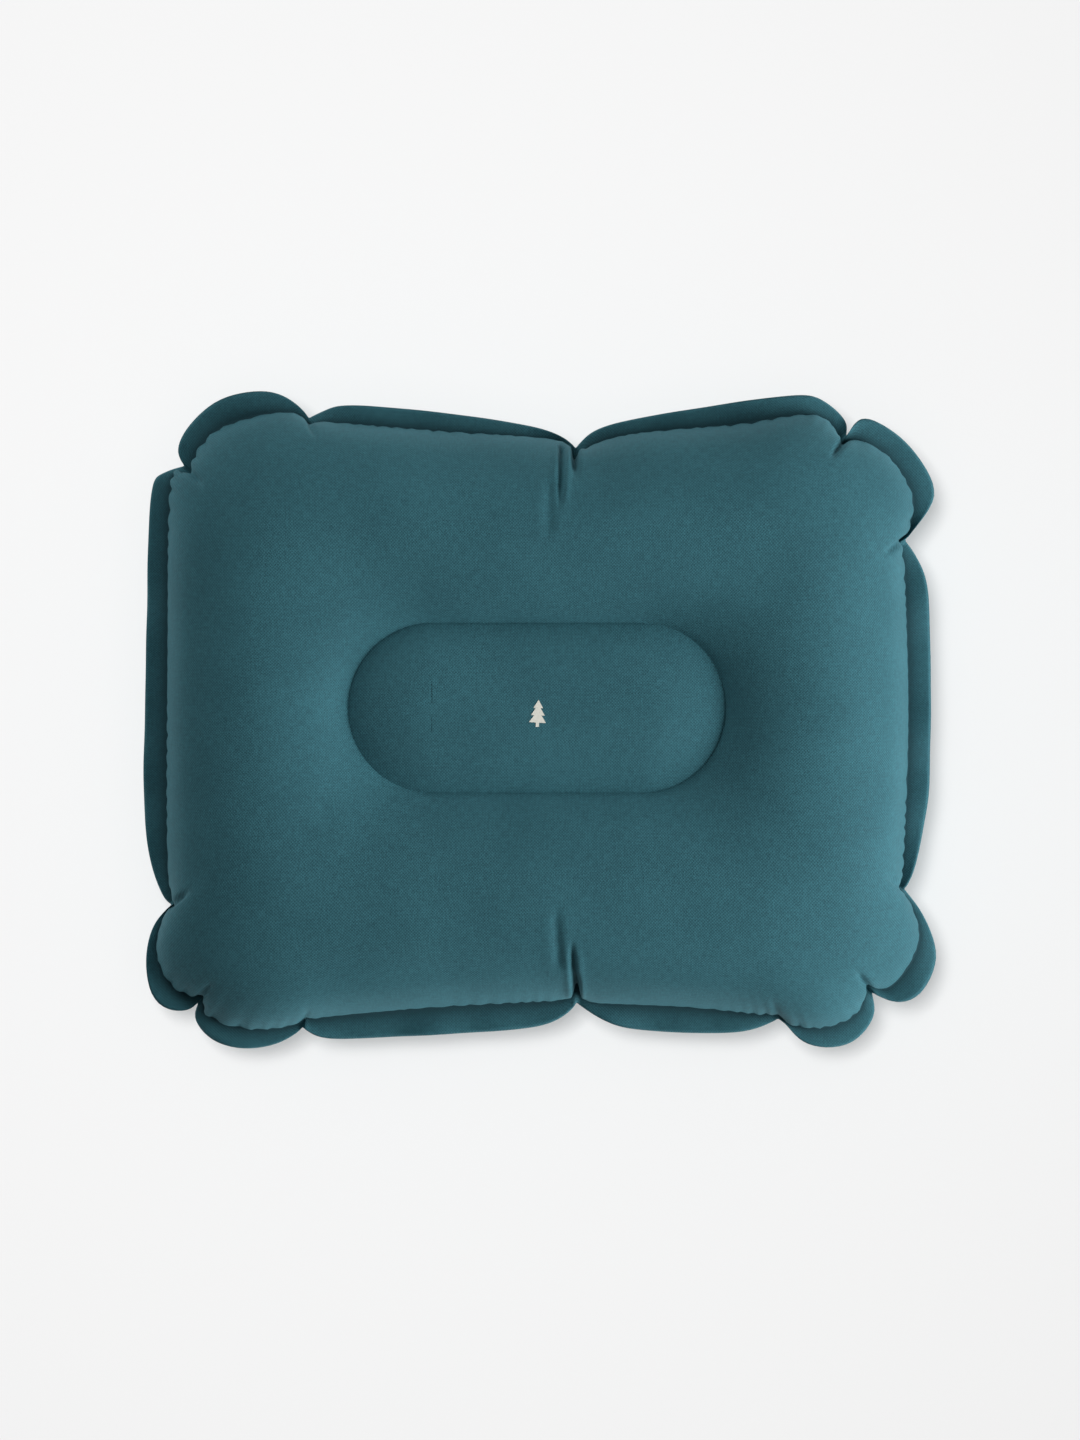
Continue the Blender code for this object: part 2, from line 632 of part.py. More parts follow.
def moved(bm, shift):
    bmesh.ops.translate(bm, vec=shift, verts=bm.verts)
    return bm


def build_flap(pivot):
    """Soft disc that seals the plug from inside, with its stem through the hub."""
    top = PLUG_FOOT - CLEARANCE
    low = top - FLAP_WALL
    head = PLUG_FOOT + HUB_WALL + FLAP_LIFT + CLEARANCE
    radius = PLUG_FOOT_RADIUS - FLAP_MARGIN
    profile = [(0, low), (radius, low), (radius, top), (STEM_RADIUS, top),
               (STEM_RADIUS, head), (STEM_HEAD_RADIUS, head),
               (STEM_RADIUS, head + STEM_HEAD_WALL), (0, head + STEM_HEAD_WALL)]
    shift = Vector((-PLUG_HINGE_OUT, 0, -PLUG_HINGE_HEIGHT))
    bm = moved(turned(profile, SMALL_STEPS, closed=False), shift)
    add_object("check_flap", bm, CLEAR_SILICONE, pivot)


def build_cap(pivot):
    """Small stopper for the plug's bore, on a strap of its own."""
    place = Vector((-PLUG_HINGE_OUT, CAP_HINGE_OUT, CAP_HINGE_HEIGHT - PLUG_HINGE_HEIGHT))
    hinge = add_frame("cap_hinge", Matrix.Translation(place * MM), pivot)
    shift = Vector((0, -CAP_HINGE_OUT, -CAP_HINGE_HEIGHT))
    boss_radius = BORE_MOUTH_RADIUS - CLEARANCE
    boss_foot = BOSS_TOP - CAP_BOSS_DEPTH
    inside = boss_radius - CAP_BOSS_TAPER - CAP_BOSS_WALL
    profile = [(0, CAP_FOOT), (inside, CAP_FOOT), (inside, boss_foot),
               (boss_radius - CAP_BOSS_TAPER, boss_foot), (boss_radius, BOSS_TOP),
               (boss_radius, CAP_FOOT), (CAP_RADIUS, CAP_FOOT),
               (CAP_RADIUS, CAP_FOOT + CAP_WALL), (0, CAP_FOOT + CAP_WALL)]
    bm = moved(turned(profile, ROUND_STEPS, closed=False), shift)
    cap = add_object("inflate_cap", bm, DARK_TPU, hinge)
    low = CAP_HINGE_HEIGHT - CAP_STRAP_WALL / 2
    strap = box((-CAP_STRAP_WIDTH / 2, CAP_RADIUS - JOIN_OVERLAP, low),
                (CAP_STRAP_WIDTH / 2, CAP_HINGE_OUT, low + CAP_STRAP_WALL))
    boolean(cap, "cap_strap", moved(strap, shift), "UNION")
    roll = barrel(CAP_HINGE_RADIUS, CAP_STRAP_WIDTH, "X", (0, CAP_HINGE_OUT, CAP_HINGE_HEIGHT))
    boolean(cap, "cap_strap_roll", moved(roll, shift), "UNION")
    tab = box((-CAP_TAB_WIDTH / 2, -CAP_RADIUS - CAP_TAB_LENGTH, low),
              (CAP_TAB_WIDTH / 2, -CAP_RADIUS + JOIN_OVERLAP, low + CAP_STRAP_WALL))
    boolean(cap, "cap_tab", moved(tab, shift), "UNION")


def main():
    for existing in list(bpy.data.objects):
        bpy.data.objects.remove(existing, do_unlink=True)
    build_skins()
    build_web()
    build_mark()
    valve = add_frame("valve_frame", valve_matrix())
    build_patch(valve)
    build_base(valve)
    build_collar(valve)
    pivot = build_plug(valve)
    build_flap(pivot)
    build_cap(pivot)


main()
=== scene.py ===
"""Looks of the inflatable camp pillow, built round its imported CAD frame.

Metres and +Z up in the scene. Sizes in the constants are millimetres. The skins are worked
out about the seam plane, as rings of points that run round the pillow.
"""

import json
import math

import bmesh
import bpy
import numpy as np
from mathutils import Matrix, Vector
from mathutils.bvhtree import BVHTree


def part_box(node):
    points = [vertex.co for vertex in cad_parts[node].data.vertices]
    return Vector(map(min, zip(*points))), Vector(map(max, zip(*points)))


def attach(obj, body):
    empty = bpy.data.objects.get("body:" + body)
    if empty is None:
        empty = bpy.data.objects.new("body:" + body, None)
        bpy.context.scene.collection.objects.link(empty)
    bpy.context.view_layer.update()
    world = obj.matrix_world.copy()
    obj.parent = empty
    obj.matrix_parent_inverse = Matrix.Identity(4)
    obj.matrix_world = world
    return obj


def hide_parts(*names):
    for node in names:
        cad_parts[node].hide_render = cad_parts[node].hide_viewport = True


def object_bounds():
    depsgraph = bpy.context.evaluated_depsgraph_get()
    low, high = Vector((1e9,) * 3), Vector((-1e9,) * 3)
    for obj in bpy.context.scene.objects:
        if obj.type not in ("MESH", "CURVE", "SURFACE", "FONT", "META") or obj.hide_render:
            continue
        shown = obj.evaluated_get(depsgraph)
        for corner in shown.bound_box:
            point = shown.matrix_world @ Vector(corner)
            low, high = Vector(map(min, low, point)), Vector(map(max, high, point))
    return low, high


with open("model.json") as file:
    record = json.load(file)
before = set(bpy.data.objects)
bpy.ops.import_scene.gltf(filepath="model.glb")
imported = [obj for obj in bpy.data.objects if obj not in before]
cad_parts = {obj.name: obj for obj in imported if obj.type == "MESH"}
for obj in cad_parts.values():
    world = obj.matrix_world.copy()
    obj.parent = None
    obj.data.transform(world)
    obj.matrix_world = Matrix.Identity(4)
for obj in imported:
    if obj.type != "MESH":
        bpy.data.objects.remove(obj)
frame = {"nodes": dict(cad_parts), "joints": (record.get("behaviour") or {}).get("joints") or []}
cad_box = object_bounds()

MM = 0.001
METRE = 1000.0              # in millimetres

# Overall sizes and the seam plane, from the frame
LENGTH = (cad_box[1].x - cad_box[0].x) / MM
WIDTH = (cad_box[1].y - cad_box[0].y) / MM
SEAM = (cad_box[0].z + cad_box[1].z) / 2 / MM
HALF_HEIGHT = SEAM
TOP_MARGIN = 0.2            # kept free under the frame's top
FLOOR_SOFTNESS = 1.2        # height within which the lower skin settles on the floor

# Capsule in the middle, where the web ties the skins together
WEB_LOW, WEB_HIGH = (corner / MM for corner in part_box("center_baffle"))
CAPSULE_CENTRE = np.array(((WEB_LOW.x + WEB_HIGH.x) / 2, (WEB_LOW.y + WEB_HIGH.y) / 2))
CAPSULE_HALF_WIDTH = (WEB_HIGH.y - WEB_LOW.y) / 2
SPINE_REACH = (WEB_HIGH.x - WEB_LOW.x) / 2 - CAPSULE_HALF_WIDTH
CREASE_HEIGHT = 34.0        # of the capsule's edge above the seam plane
CREASE_SINK = 1.1           # how far the web pulls that edge into a groove
CROWN_RISE = 8.0
CROWN_POWER = 2.4           # how flat the capsule's top is
CAPSULE_CROWDING = 0.8      # below 1, the rings lie closer together near the middle
CAPSULE_CORE = 3.0          # half width of the strip that closes the rings

# Welded edge
CURVE_STEPS = 24            # points between two points of an outline
EDGE_ROUNDING = 90          # passes that round the cut edge off between its points
NOTCH_FLANGE = 2.0          # flange left where a fold of the edge meets the weld
FLANGE_HALF_WALL = 0.4      # two layers of laminate pressed to one
PINCH_REACH = 9.0           # run of weld drawn in on each side of a gather
PINCH_POWER = 1.7
PINCH_FADE = 9.0            # run up the skin over which the pinch dies out
PINCH_CUT = 0.15            # share of the pinch that shortens the cloth
FAN_EVENING = 14.0          # run of the weld over which the rays are fanned out
CUT_EVENING = 30.0          # run of the weld over which the cloth's cut is evened out
SKIN_EVENING = 30.0         # the same for the blown-up skin, away from the weld
EVENED_ROW = 8              # from this row inwards it is evened fully
EVENED_POWER = 1.3
EVENING_PASSES = 3          # along each ray, after that
EVENING_SHARE = 0.4
CURL_REACH = 13.0           # run of flange that lifts or dips next to a gather
CURL_POWER = 1.4            # how the flange bends away from the seam plane
WAVE_HEIGHT = 2.0           # of the slow waves along the flange
FLANGE_WAVES = ((17, 0.4), (26, 2.1), (41, 4.0))    # turns round the pillow and phase of each
# Painted shade: the flange and the skins' first rows are coloured darker next to the weld, for the
# shade under the overhanging tube
WELD_SHADE_POWER = 2.2           # how the painted shade next to the weld fades towards the cut edge
WELD_SHADE_ROWS = 2.5          # rows of points over which it fades up the skin

# Grid of points
SAMPLE_STEP = 3.6           # mean spacing round the weld
SAMPLE_CROWDING = 0.55      # how much closer the points lie at the gathers
SKIN_ROWS = 28              # from the weld to the capsule
CAPSULE_ROWS = 5
FLANGE_ROWS = 4
SPLIT_ROWS = 7              # over which the flange's half wall fades into the skin
PLAN_SPREAD = 1.5           # distance of the lower skin's plan from the upper's, in lengths

# Section of the air tube, from the frame's own round section
FOOT_ANGLE = -4.0           # of the skin as it leaves the weld
TUBE_RADIUS = 49.0
TUBE_CENTRE = 3.8
SECTION_ANGLE = 180 - FOOT_ANGLE - math.degrees(
    math.asin((CREASE_HEIGHT - TUBE_CENTRE) / TUBE_RADIUS))
SLACK = 0.985               # cloth cut for each ray, as a share of the round section

# The edge is gathered at twelve places. Each lobe starts at its gather, whose place is
# (side, in from that side) along X and then Y, where side 0 measures from the middle.
# Then come the depth that the gather draws the weld in and how far the flange curls there.
# Between two gathers, (share of the way, distance out) gives the cut edge and the weld.
LOBES = (
    ("right", (1, 16.1, -1, 80.7), 5.0, 3.0,
     ((0.055, 5.0), (0.2, 10.4), (0.33, 12.9), (0.71, 12.9), (0.88, 11.0), (0.96, 5.0)),
     ((0.5, 1.0),)),
    ("upper_right_corner", (1, 15.6, 1, 75.2), 6.0, 3.0,
     ((0.14, 20.0), (0.3, 26.5), (0.6, 26.0), (0.85, 21.5), (1.07, 11.5)),
     ((0.1, 6.0), (0.3, 13.5), (0.65, 13.0), (0.9, 5.0))),
    ("upper_right", (1, 45.4, 1, 22.7), 7.0, -3.0,
     ((0.0, 8.0), (0.085, 19.0), (0.2, 21.8), (0.58, 16.6), (0.9, 10.4)),
     ((0.12, 10.8), (0.4, 7.4), (0.8, 5.0))),
    ("upper_left", (0, 17.9, 1, 28.8), 8.0, 1.5,
     ((0.06, 5.0), (0.21, 9.0), (0.57, 10.1), (0.86, 8.6), (0.94, 5.0)),
     ((0.1, 2.5), (0.5, 0.0))),
    ("upper_left_corner", (-1, 83.2, 1, 13.6), 4.0, 1.5,
     ((0.03, 6.0), (0.12, 15.0), (0.28, 21.7), (0.58, 24.8), (0.85, 18.5), (1.0, 9.0)),
     ((0.1, 5.0), (0.35, 9.5), (0.7, 9.5))),
    ("left", (-1, 20.2, 1, 37.8), 7.0, -3.0,
     ((0.02, 11.0), (0.08, 17.0), (0.5, 16.0), (0.73, 15.8), (0.89, 11.9), (0.98, 4.5)),
     ((0.06, 6.0), (0.5, 4.3), (0.9, 1.8))),
    ("lower_left_corner", (-1, 13.6, -1, 72.6), 6.0, 3.0,
     ((0.15, 11.6), (0.45, 19.4), (0.8, 21.5), (0.98, 15.5), (1.04, 6.0)),
     ((0.12, 6.0), (0.4, 12.9), (0.75, 10.0))),
    ("lower_left_ear", (-1, 27.2, -1, 23.2), 6.0, -3.0,
     ((0.0, 8.5), (0.2, 16.7), (0.5, 17.5), (0.78, 12.0), (0.95, 4.0)),
     ((0.1, 4.0), (0.4, 7.0), (0.7, 4.5))),
    ("lower_left", (-1, 80.2, -1, 11.1), 3.0, 1.5,
     ((0.08, 7.0), (0.31, 8.8), (0.76, 10.8), (0.9, 8.8), (0.97, 4.0)),
     ((0.05, -4.0), (0.5, -4.4), (0.9, -2.5))),
    ("lower_right", (0, 18.4, -1, 23.2), 8.0, -1.5,
     ((0.12, 6.7), (0.3, 11.3), (0.72, 9.5), (0.9, 5.5)),
     ((0.1, -1.0), (0.5, -2.7), (0.9, -2.0))),
    ("lower_right_ear", (1, 79.7, -1, 15.1), 3.0, 1.5,
     ((0.06, 3.5), (0.17, 14.0), (0.4, 20.5), (0.69, 21.4), (0.96, 11.7)),
     ((0.1, 4.0), (0.4, 9.6), (0.75, 8.0))),
    ("lower_right_corner", (1, 32.3, -1, 28.3), 7.0, 3.0,
     ((-0.02, 12.5), (0.1, 22.7), (0.39, 26.7), (0.61, 22.9), (0.85, 11.5)),
     ((0.1, 7.0), (0.4, 13.5), (0.7, 12.5))),
)

# Creases pressed into the upper skin: from, to, depth and half width
CREASES = (
    ((17.6, 137.0), (16.6, 124.0), 3.2, 1.2),
    ((11.2, 136.0), (9.8, 104.0), 3.8, 1.2),
    ((5.3, 116.0), (3.8, 88.0), 1.0, 2.2),
    ((18.2, -141.0), (15.4, -109.0), 3.8, 1.2),
    ((9.4, -120.0), (7.6, -91.0), 1.2, 2.0),
    ((-103.0, -50.0), (-111.0, -37.0), 0.5, 2.5),
)
CREASE_BULGE = 0.16         # how far the skin swells beside a crease, as a share of its depth
CREASE_BULGE_PLACE = 2.6    # and how far out, in half widths of the crease
CREASE_BULGE_WIDTH = 1.3
CREASE_HOLD = 2.5           # a crease runs out over the last 1 / 2.5 of its length
VALLEY_HOLD = 2.0           # and a valley over the last half
CREASED_ROWS = 1.5          # rows of points over which a crease fades into the weld
GATHER_VALLEY = 8.0         # length of the valley that each gather leaves in the skin
GATHER_OVERHANG = 7.0       # how far the valley reaches out over the weld
GATHER_VALLEY_WIDTH = 1.5
GATHER_VALLEY_DEPTH = 0.45  # as a share of the gather's own depth

# Tiny scallops where the skin leaves the weld, deeper round the corners
PUCKER_DEPTH = 0.9
CORNER_PUCKER_DEPTH = 2.2
PUCKER_STEP = 8.0
PUCKER_RUN = 6.0            # distance up the skin at which they are deepest
PUCKER_WARPS = ((11, 1.1), (23, 0.7), (37, 0.5))    # turns round the pillow and strength
CORNER_REACH = 2.2          # how soon they deepen towards a corner
PATCH_TURNS = 9             # stretches with deeper scallops, round the pillow
PATCH_SHARE = 0.4

# Cloth simulation
SIM_FRAMES = 46
CLOTH_QUALITY = 6
CLOTH_MASS = 0.001
CLOTH_PRESSURE = 4
CLOTH_TENSION = 40
CLOTH_COMPRESSION = 0.02    # so soft that it swells smoothly instead of buckling
CLOTH_SHEAR = 0.2
CLOTH_BENDING = 0.5
CLOTH_DAMPING = 5
AIR_DAMPING = 6

# Valve, in its own plane: its origin is on the skin's outer face
PATCH_MIDDLE = 0.55         # height of the patch's middle above the skin
VALVE_FLAT_RADIUS = 25.0    # the skin is flat up to here and blends into the tube from there
VALVE_BLEND_RADIUS = 37.0
VALVE_HOLE_RADIUS = 12.0
VALVE_HOLE_DEPTH = 5.0      # how far from the valve's plane its hole is looked for
VALVE_SKIN_HEIGHT = -0.05
CAP_RADIUS = 8.8
PLUG_RIM_RADIUS = 12.8
RIM_BAND = 0.1              # how near the rim a point counts as on it
CAP_RIBS = 28
PLUG_RIBS = 40
GRIP_INSET = 2.2            # of the ribs' middle from the piece's rim
GRIP_LENGTH = 2.4
GRIP_WIDTH = 0.8
GRIP_HEIGHT = 0.35
ROUNDING_ANGLE = 35         # edges sharper than this are rounded on moulded pieces
CREASE_ANGLE = 40           # and edges sharper than this still shade as edges

# Print on the capsule
MARK_CENTRE = (-1.0, 3.3)
MARK_TURN = -3.0
MARK_LIFT = 0.12
MARK_OUTLINE = ((0.8, -6.7), (0.8, -4.6), (4.2, -4.6), (1.8, -1.0), (3.4, -1.0), (1.2, 2.6),
                (2.4, 2.6), (0.0, 6.7))

# Weave
THREAD_STEP = 1.5           # real threads are 0.3 mm apart, drawn coarser so that they show
STREAK_WIDTH = 1.0
STREAK_LENGTH = 5.0
CLOUDS_PER_METRE = 22.0     # slow changes of the dye's depth

# Sizes of the other finishes' patterns
FLOW_MARKS = 9.0
TPU_SPARK_GRAIN = 0.35
SILICONE_SPARK_GRAIN = 0.5
INK_BREAKS = 1.2
FILM_RIPPLE = 6.0
PAPER_FIBRES = 3.0

# Camera
FIELD_WIDTH = 544.75        # what the frame takes in across, at the seam plane
FRAME_SHAPE = 4 / 3
LENS = 100.0
SENSOR = 36.0

# Lamps that light only the pillow: name, place in metres, size, power
PILLOW_LAMPS = (
    ("key", (1.4, -0.42, 0.66), 1.1, 39.0),
    ("fill", (-0.75, 1.2, 0.85), 1.2, 12.0),
    ("top", (-0.1, 0.2, 2.6), 2.0, 4.0),
)
LAMP_AIM = Vector((0, 0, 0.05))     # metres
WORLD_STRENGTH = 0.12
FLOOR_HALF = 4.0            # metres


# ---------------------------------------------------------------- outline

def gather_point(place):
    """Where a gather of the edge lies, from its distances in from the sides."""
    side_x, in_x, side_y, in_y = place
    x = side_x * (LENGTH / 2 - in_x) if side_x else in_x
    y = side_y * (WIDTH / 2 - in_y) if side_y else in_y
    return Vector((x, y))


def smooth_curve(points):
    """A Catmull-Rom curve through the points."""
    ends = [points[0] * 2 - points[1]] + points + [points[-1] * 2 - points[-2]]
    curve = []
    for before, start, end, after in zip(ends, ends[1:], ends[2:], ends[3:]):
        for step in range(CURVE_STEPS):
            t = step / CURVE_STEPS
            curve.append(0.5 * (2 * start + (end - before) * t
                                + (2 * before - 5 * start + 4 * end - after) * t ** 2
                                + (3 * start - before - 3 * end + after) * t ** 3))
    return np.array([tuple(p) for p in curve + [points[-1]]])


def rounded(curve, passes):
    """The curve with its corners rounded off and its ends kept."""
    curve = curve.copy()
    for _ in range(passes):
        curve[1:-1] += ((curve[2:] + curve[:-2]) / 2 - curve[1:-1]) * 0.5
    return curve


def run_of(curve):
    """Distance along a curve at each of its points."""
    return np.concatenate(([0.0], np.cumsum(np.hypot(*np.diff(curve, axis=0).T))))


def points_at(curve, shares):
    """Points at these shares of a curve's length."""
    run = run_of(curve)
    return np.stack([np.interp(shares * run[-1], run, curve[:, axis]) for axis in (0, 1)], 1)


def on_spine(points):
    """The nearest points of the capsule's middle line."""
    along = np.clip(points[:, 0] - CAPSULE_CENTRE[0], -SPINE_REACH, SPINE_REACH)
    return CAPSULE_CENTRE + np.stack([along, np.zeros(len(points))], 1)


def unit(vectors):
    """The vectors at length one."""
    return vectors / np.linalg.norm(vectors, axis=-1, keepdims=True)


def outline():
    """The cut edge and the weld as matching points, with how each is pinched and curled."""
    edge, weld, pinch, curl, run = [], [], [], [], []
    passed = 0.0
    for lobe, following in zip(LOBES, LOBES[1:] + LOBES[:1]):
        _, place, drawn, lift, edge_shape, weld_shape = lobe
        _, next_place, next_drawn, next_lift, _, _ = following
        start, end = gather_point(place), gather_point(next_place)
        along = end - start
        out = Vector((along.y, -along.x)).normalized()
        edge_points = [start] + [start + along * t + out * d for t, d in edge_shape] + [end]
        weld_points = [start + along * t + out * d for t, d in weld_shape]
        inner = [Vector(p) for p in drawn_in(np.array([start, end]), NOTCH_FLANGE)]
        edge_curve = rounded(smooth_curve(edge_points), EDGE_ROUNDING)
        weld_curve = smooth_curve([inner[0]] + weld_points + [inner[1]])
        length = run_of(weld_curve)[-1]
        count = max(8, round(length / SAMPLE_STEP))
        shares = np.arange(count) / count
        shares = shares - SAMPLE_CROWDING * np.sin(2 * np.pi * shares) / (2 * np.pi)
        edge.append(points_at(edge_curve, shares))
        weld.append(points_at(weld_curve, shares))
        after, before = shares * length, (1 - shares) * length
        pinch.append(drawn * np.clip(1 - after / PINCH_REACH, 0, 1) ** PINCH_POWER
                     + next_drawn * np.clip(1 - before / PINCH_REACH, 0, 1) ** PINCH_POWER)
        curl.append(lift * np.exp(-after / CURL_REACH) * (after > 0)
                    - next_lift * np.exp(-before / CURL_REACH))
        run.append(passed + after)
        passed += length
    edge, weld, pinch, curl, run = (np.concatenate(part) for part in (edge, weld, pinch, curl, run))
    low, high = edge.min(0), edge.max(0)
    scale = np.array((LENGTH, WIDTH)) / (high - low)
    edge, weld = ((line - (low + high) / 2) * scale for line in (edge, weld))
    return edge, weld, pinch, curl, run


def drawn_in(points, distance):
    """Points moved towards the capsule."""
    towards = unit(on_spine(points) - points)
    return points + towards * np.reshape(distance, (-1, 1))


# ---------------------------------------------------------------- skin

class Rays:
    """Level rays from the capsule's middle line to the weld, fanned out evenly."""

    def __init__(self, weld, run):
        guide = evened(weld, run, FAN_EVENING)
        self.root = on_spine(guide)
        self.ray = unit(guide - self.root)
        self.side = np.stack([-self.ray[:, 1], self.ray[:, 0]], 1)

    def parts(self, points):
        """How far points lie along their rays and beside them."""
        level = points[..., :2] - self.root
        return (level * self.ray).sum(-1), (level * self.side).sum(-1)

    def place(self, along, beside):
        """Level points from distances along the rays and beside them."""
        return self.root + self.ray * along[..., None] + self.side * beside[..., None]


def round_section(rows):
    """Run from the weld and height of the round section, for a tube of unit level run."""
    turn = np.radians(np.linspace(FOOT_ANGLE, FOOT_ANGLE + SECTION_ANGLE, rows + 1))
    level = math.cos(math.radians(FOOT_ANGLE)) - np.cos(turn)
    height = TUBE_CENTRE + TUBE_RADIUS * np.sin(turn)
    return level / level[-1], height - height[0] * (1 - np.linspace(0, 1, rows + 1))


def skin_start(weld, rays, pinch):
    """Rings of the upper skin from the weld to the capsule, round before it is blown up."""
    along, beside = rays.parts(weld)
    reach = along - CAPSULE_HALF_WIDTH
    level, height = round_section(SKIN_ROWS)
    up = TUBE_RADIUS * math.radians(SECTION_ANGLE) * np.linspace(0, 1, SKIN_ROWS + 1)
    fade = np.exp(-up / PINCH_FADE)[:, None]
    rings = np.empty((SKIN_ROWS + 1, len(weld), 3))
    rings[:, :, :2] = rays.place(along - reach * level[:, None] - pinch * fade, beside * fade)
    rings[:, :, 2] = height[:, None]
    return rings


def evened(values, run, width):
    """Values round the weld, averaged over this run of it on each side."""
    total = run[-1] + SAMPLE_STEP
    apart = np.abs(run[:, None] - run[None])
    apart = np.minimum(apart, total - apart)
    step = (np.roll(run, -1) - np.roll(run, 1)) % total
    weights = np.exp(-(apart / width) ** 2) * step
    return (weights / weights.sum(1, keepdims=True)) @ values


def skin_cut(rings, rays, pinch, run):
    """The same rings laid flat, each ray about as long as its section is round the skin."""
    steps = np.linalg.norm(np.diff(rings, axis=0), axis=2)
    length = evened(steps.sum(0), run, CUT_EVENING) * SLACK - PINCH_CUT * pinch
    shares = np.linspace(1, 0, SKIN_ROWS + 1)[:, None]
    distance = CAPSULE_HALF_WIDTH + length * shares
    flat = np.zeros_like(rings)
    flat[:, :, :2] = rays.place(distance, np.zeros_like(distance))
    return flat


def grid_faces(rows, count):
    """Quads between rings of points, closed round."""
    return [(row * count + i, row * count + (i + 1) % count,
             (row + 1) * count + (i + 1) % count, (row + 1) * count + i)
            for row in range(rows) for i in range(count)]


def blown_up(rings, flat):
    """The skin under air pressure, held at the weld and along the capsule."""
    rows, count = rings.shape[:2]
    mesh = bpy.data.meshes.new("skin_cloth")
    mesh.from_pydata((rings.reshape(-1, 3) * MM).tolist(), [], grid_faces(rows - 1, count))
    cloth = bpy.data.objects.new("skin_cloth", mesh)
    bpy.context.scene.collection.objects.link(cloth)
    cloth.shape_key_add(name="Basis")
    cut = cloth.shape_key_add(name="Cut flat")
    cut.data.foreach_set("co", (flat.reshape(-1) * MM).astype(np.float32))
    cut.value = 0.0
    held = cloth.vertex_groups.new(name="held")
    held.add(list(range(count)) + list(range((rows - 1) * count, rows * count)), 1.0, "REPLACE")
    modifier = cloth.modifiers.new("air", "CLOTH")
    settings = modifier.settings
    settings.quality = CLOTH_QUALITY
    settings.mass = CLOTH_MASS
    settings.air_damping = AIR_DAMPING
    settings.tension_stiffness = CLOTH_TENSION
    settings.compression_stiffness = CLOTH_COMPRESSION
    settings.shear_stiffness = CLOTH_SHEAR
    settings.bending_model = "ANGULAR"
    settings.bending_stiffness = CLOTH_BENDING
    settings.tension_damping = CLOTH_DAMPING
    settings.compression_damping = CLOTH_DAMPING
    settings.shear_damping = CLOTH_DAMPING
    settings.bending_damping = CLOTH_BENDING
    settings.vertex_group_mass = "held"
    settings.pin_stiffness = 1
    settings.rest_shape_key = cut
    settings.use_pressure = True
    settings.uniform_pressure_force = CLOTH_PRESSURE
    settings.effector_weights.gravity = 0
    modifier.collision_settings.use_collision = False
    modifier.collision_settings.use_self_collision = False
    modifier.point_cache.frame_start = 1
    modifier.point_cache.frame_end = SIM_FRAMES
    for step in range(1, SIM_FRAMES + 1):
        bpy.context.scene.frame_set(step)
    result = cloth.evaluated_get(bpy.context.evaluated_depsgraph_get()).data
    points = np.empty(rows * count * 3, np.float32)
    result.vertices.foreach_get("co", points)
    bpy.data.objects.remove(cloth, do_unlink=True)
    bpy.context.scene.frame_set(1)
    return points.reshape(rows, count, 3).astype(float) / MM


def smoothed(rings, rays, run):
    """Evens out the rings round the pillow, more the further they are from the weld."""
    rings = rings.copy()
    for row in range(1, len(rings) - 1):
        width = SKIN_EVENING * min(1.0, row / EVENED_ROW) ** EVENED_POWER
        along, beside = rays.parts(rings[row])
        parts = evened(np.stack([along, beside, rings[row, :, 2]], 1), run, width)
        rings[row, :, :2] = rays.place(parts[:, 0], parts[:, 1])
        rings[row, :, 2] = parts[:, 2]
    for _ in range(EVENING_PASSES):
        rings[2:-1] += ((rings[3:] + rings[1:-2]) / 2 - rings[2:-1]) * EVENING_SHARE
    return rings


def capsule_rings(rays, crease):
    """Rings of the shallow crown inside the capsule, from its edge to the middle."""
    rings = [crease]
    closing = 1 - CAPSULE_CORE / CAPSULE_HALF_WIDTH
    for row in range(1, CAPSULE_ROWS + 1):
        share = 1 - (row / CAPSULE_ROWS) ** CAPSULE_CROWDING * closing
        ring = np.empty_like(crease)
        ring[:, :2] = rays.root + rays.ray * CAPSULE_HALF_WIDTH * share
        ring[:, 2] = crease[:, 2] + CROWN_RISE * (1 - share ** CROWN_POWER)
        rings.append(ring)
    return np.array(rings)


def finer(grid, axis, closed):
    """The grid with a point between each two along an axis, on a smooth curve."""
    grid = np.moveaxis(grid, axis, 0)
    if closed:
        padded = np.concatenate((grid[-1:], grid, grid[:2]))
    else:
        padded = np.concatenate((2 * grid[:1] - grid[1:2], grid, 2 * grid[-1:] - grid[-2:-1]))
    between = (9 * (padded[1:-2] + padded[2:-1]) - padded[:-3] - padded[3:]) / 16
    full = np.empty((len(grid) + len(between),) + grid.shape[1:])
    full[0::2] = grid
    full[1::2] = between
    return np.moveaxis(full, 0, axis)


def grid_normals(grid):
    """Outward directions of an upper grid of rings that run counterclockwise and inwards."""
    around = np.roll(grid, -1, 1) - np.roll(grid, 1, 1)
    inwards = np.gradient(grid, axis=0)
    return unit(np.cross(around, inwards))


def segment_distance(points, start, end):
    """Level distance from a segment and the share of the way along it."""
    start, end = np.array(start), np.array(end)
    along = end - start
    share = np.clip(((points - start) @ along) / (along @ along), 0, 1)
    nearest = start + share[..., None] * along
    return np.linalg.norm(points - nearest, axis=-1), share


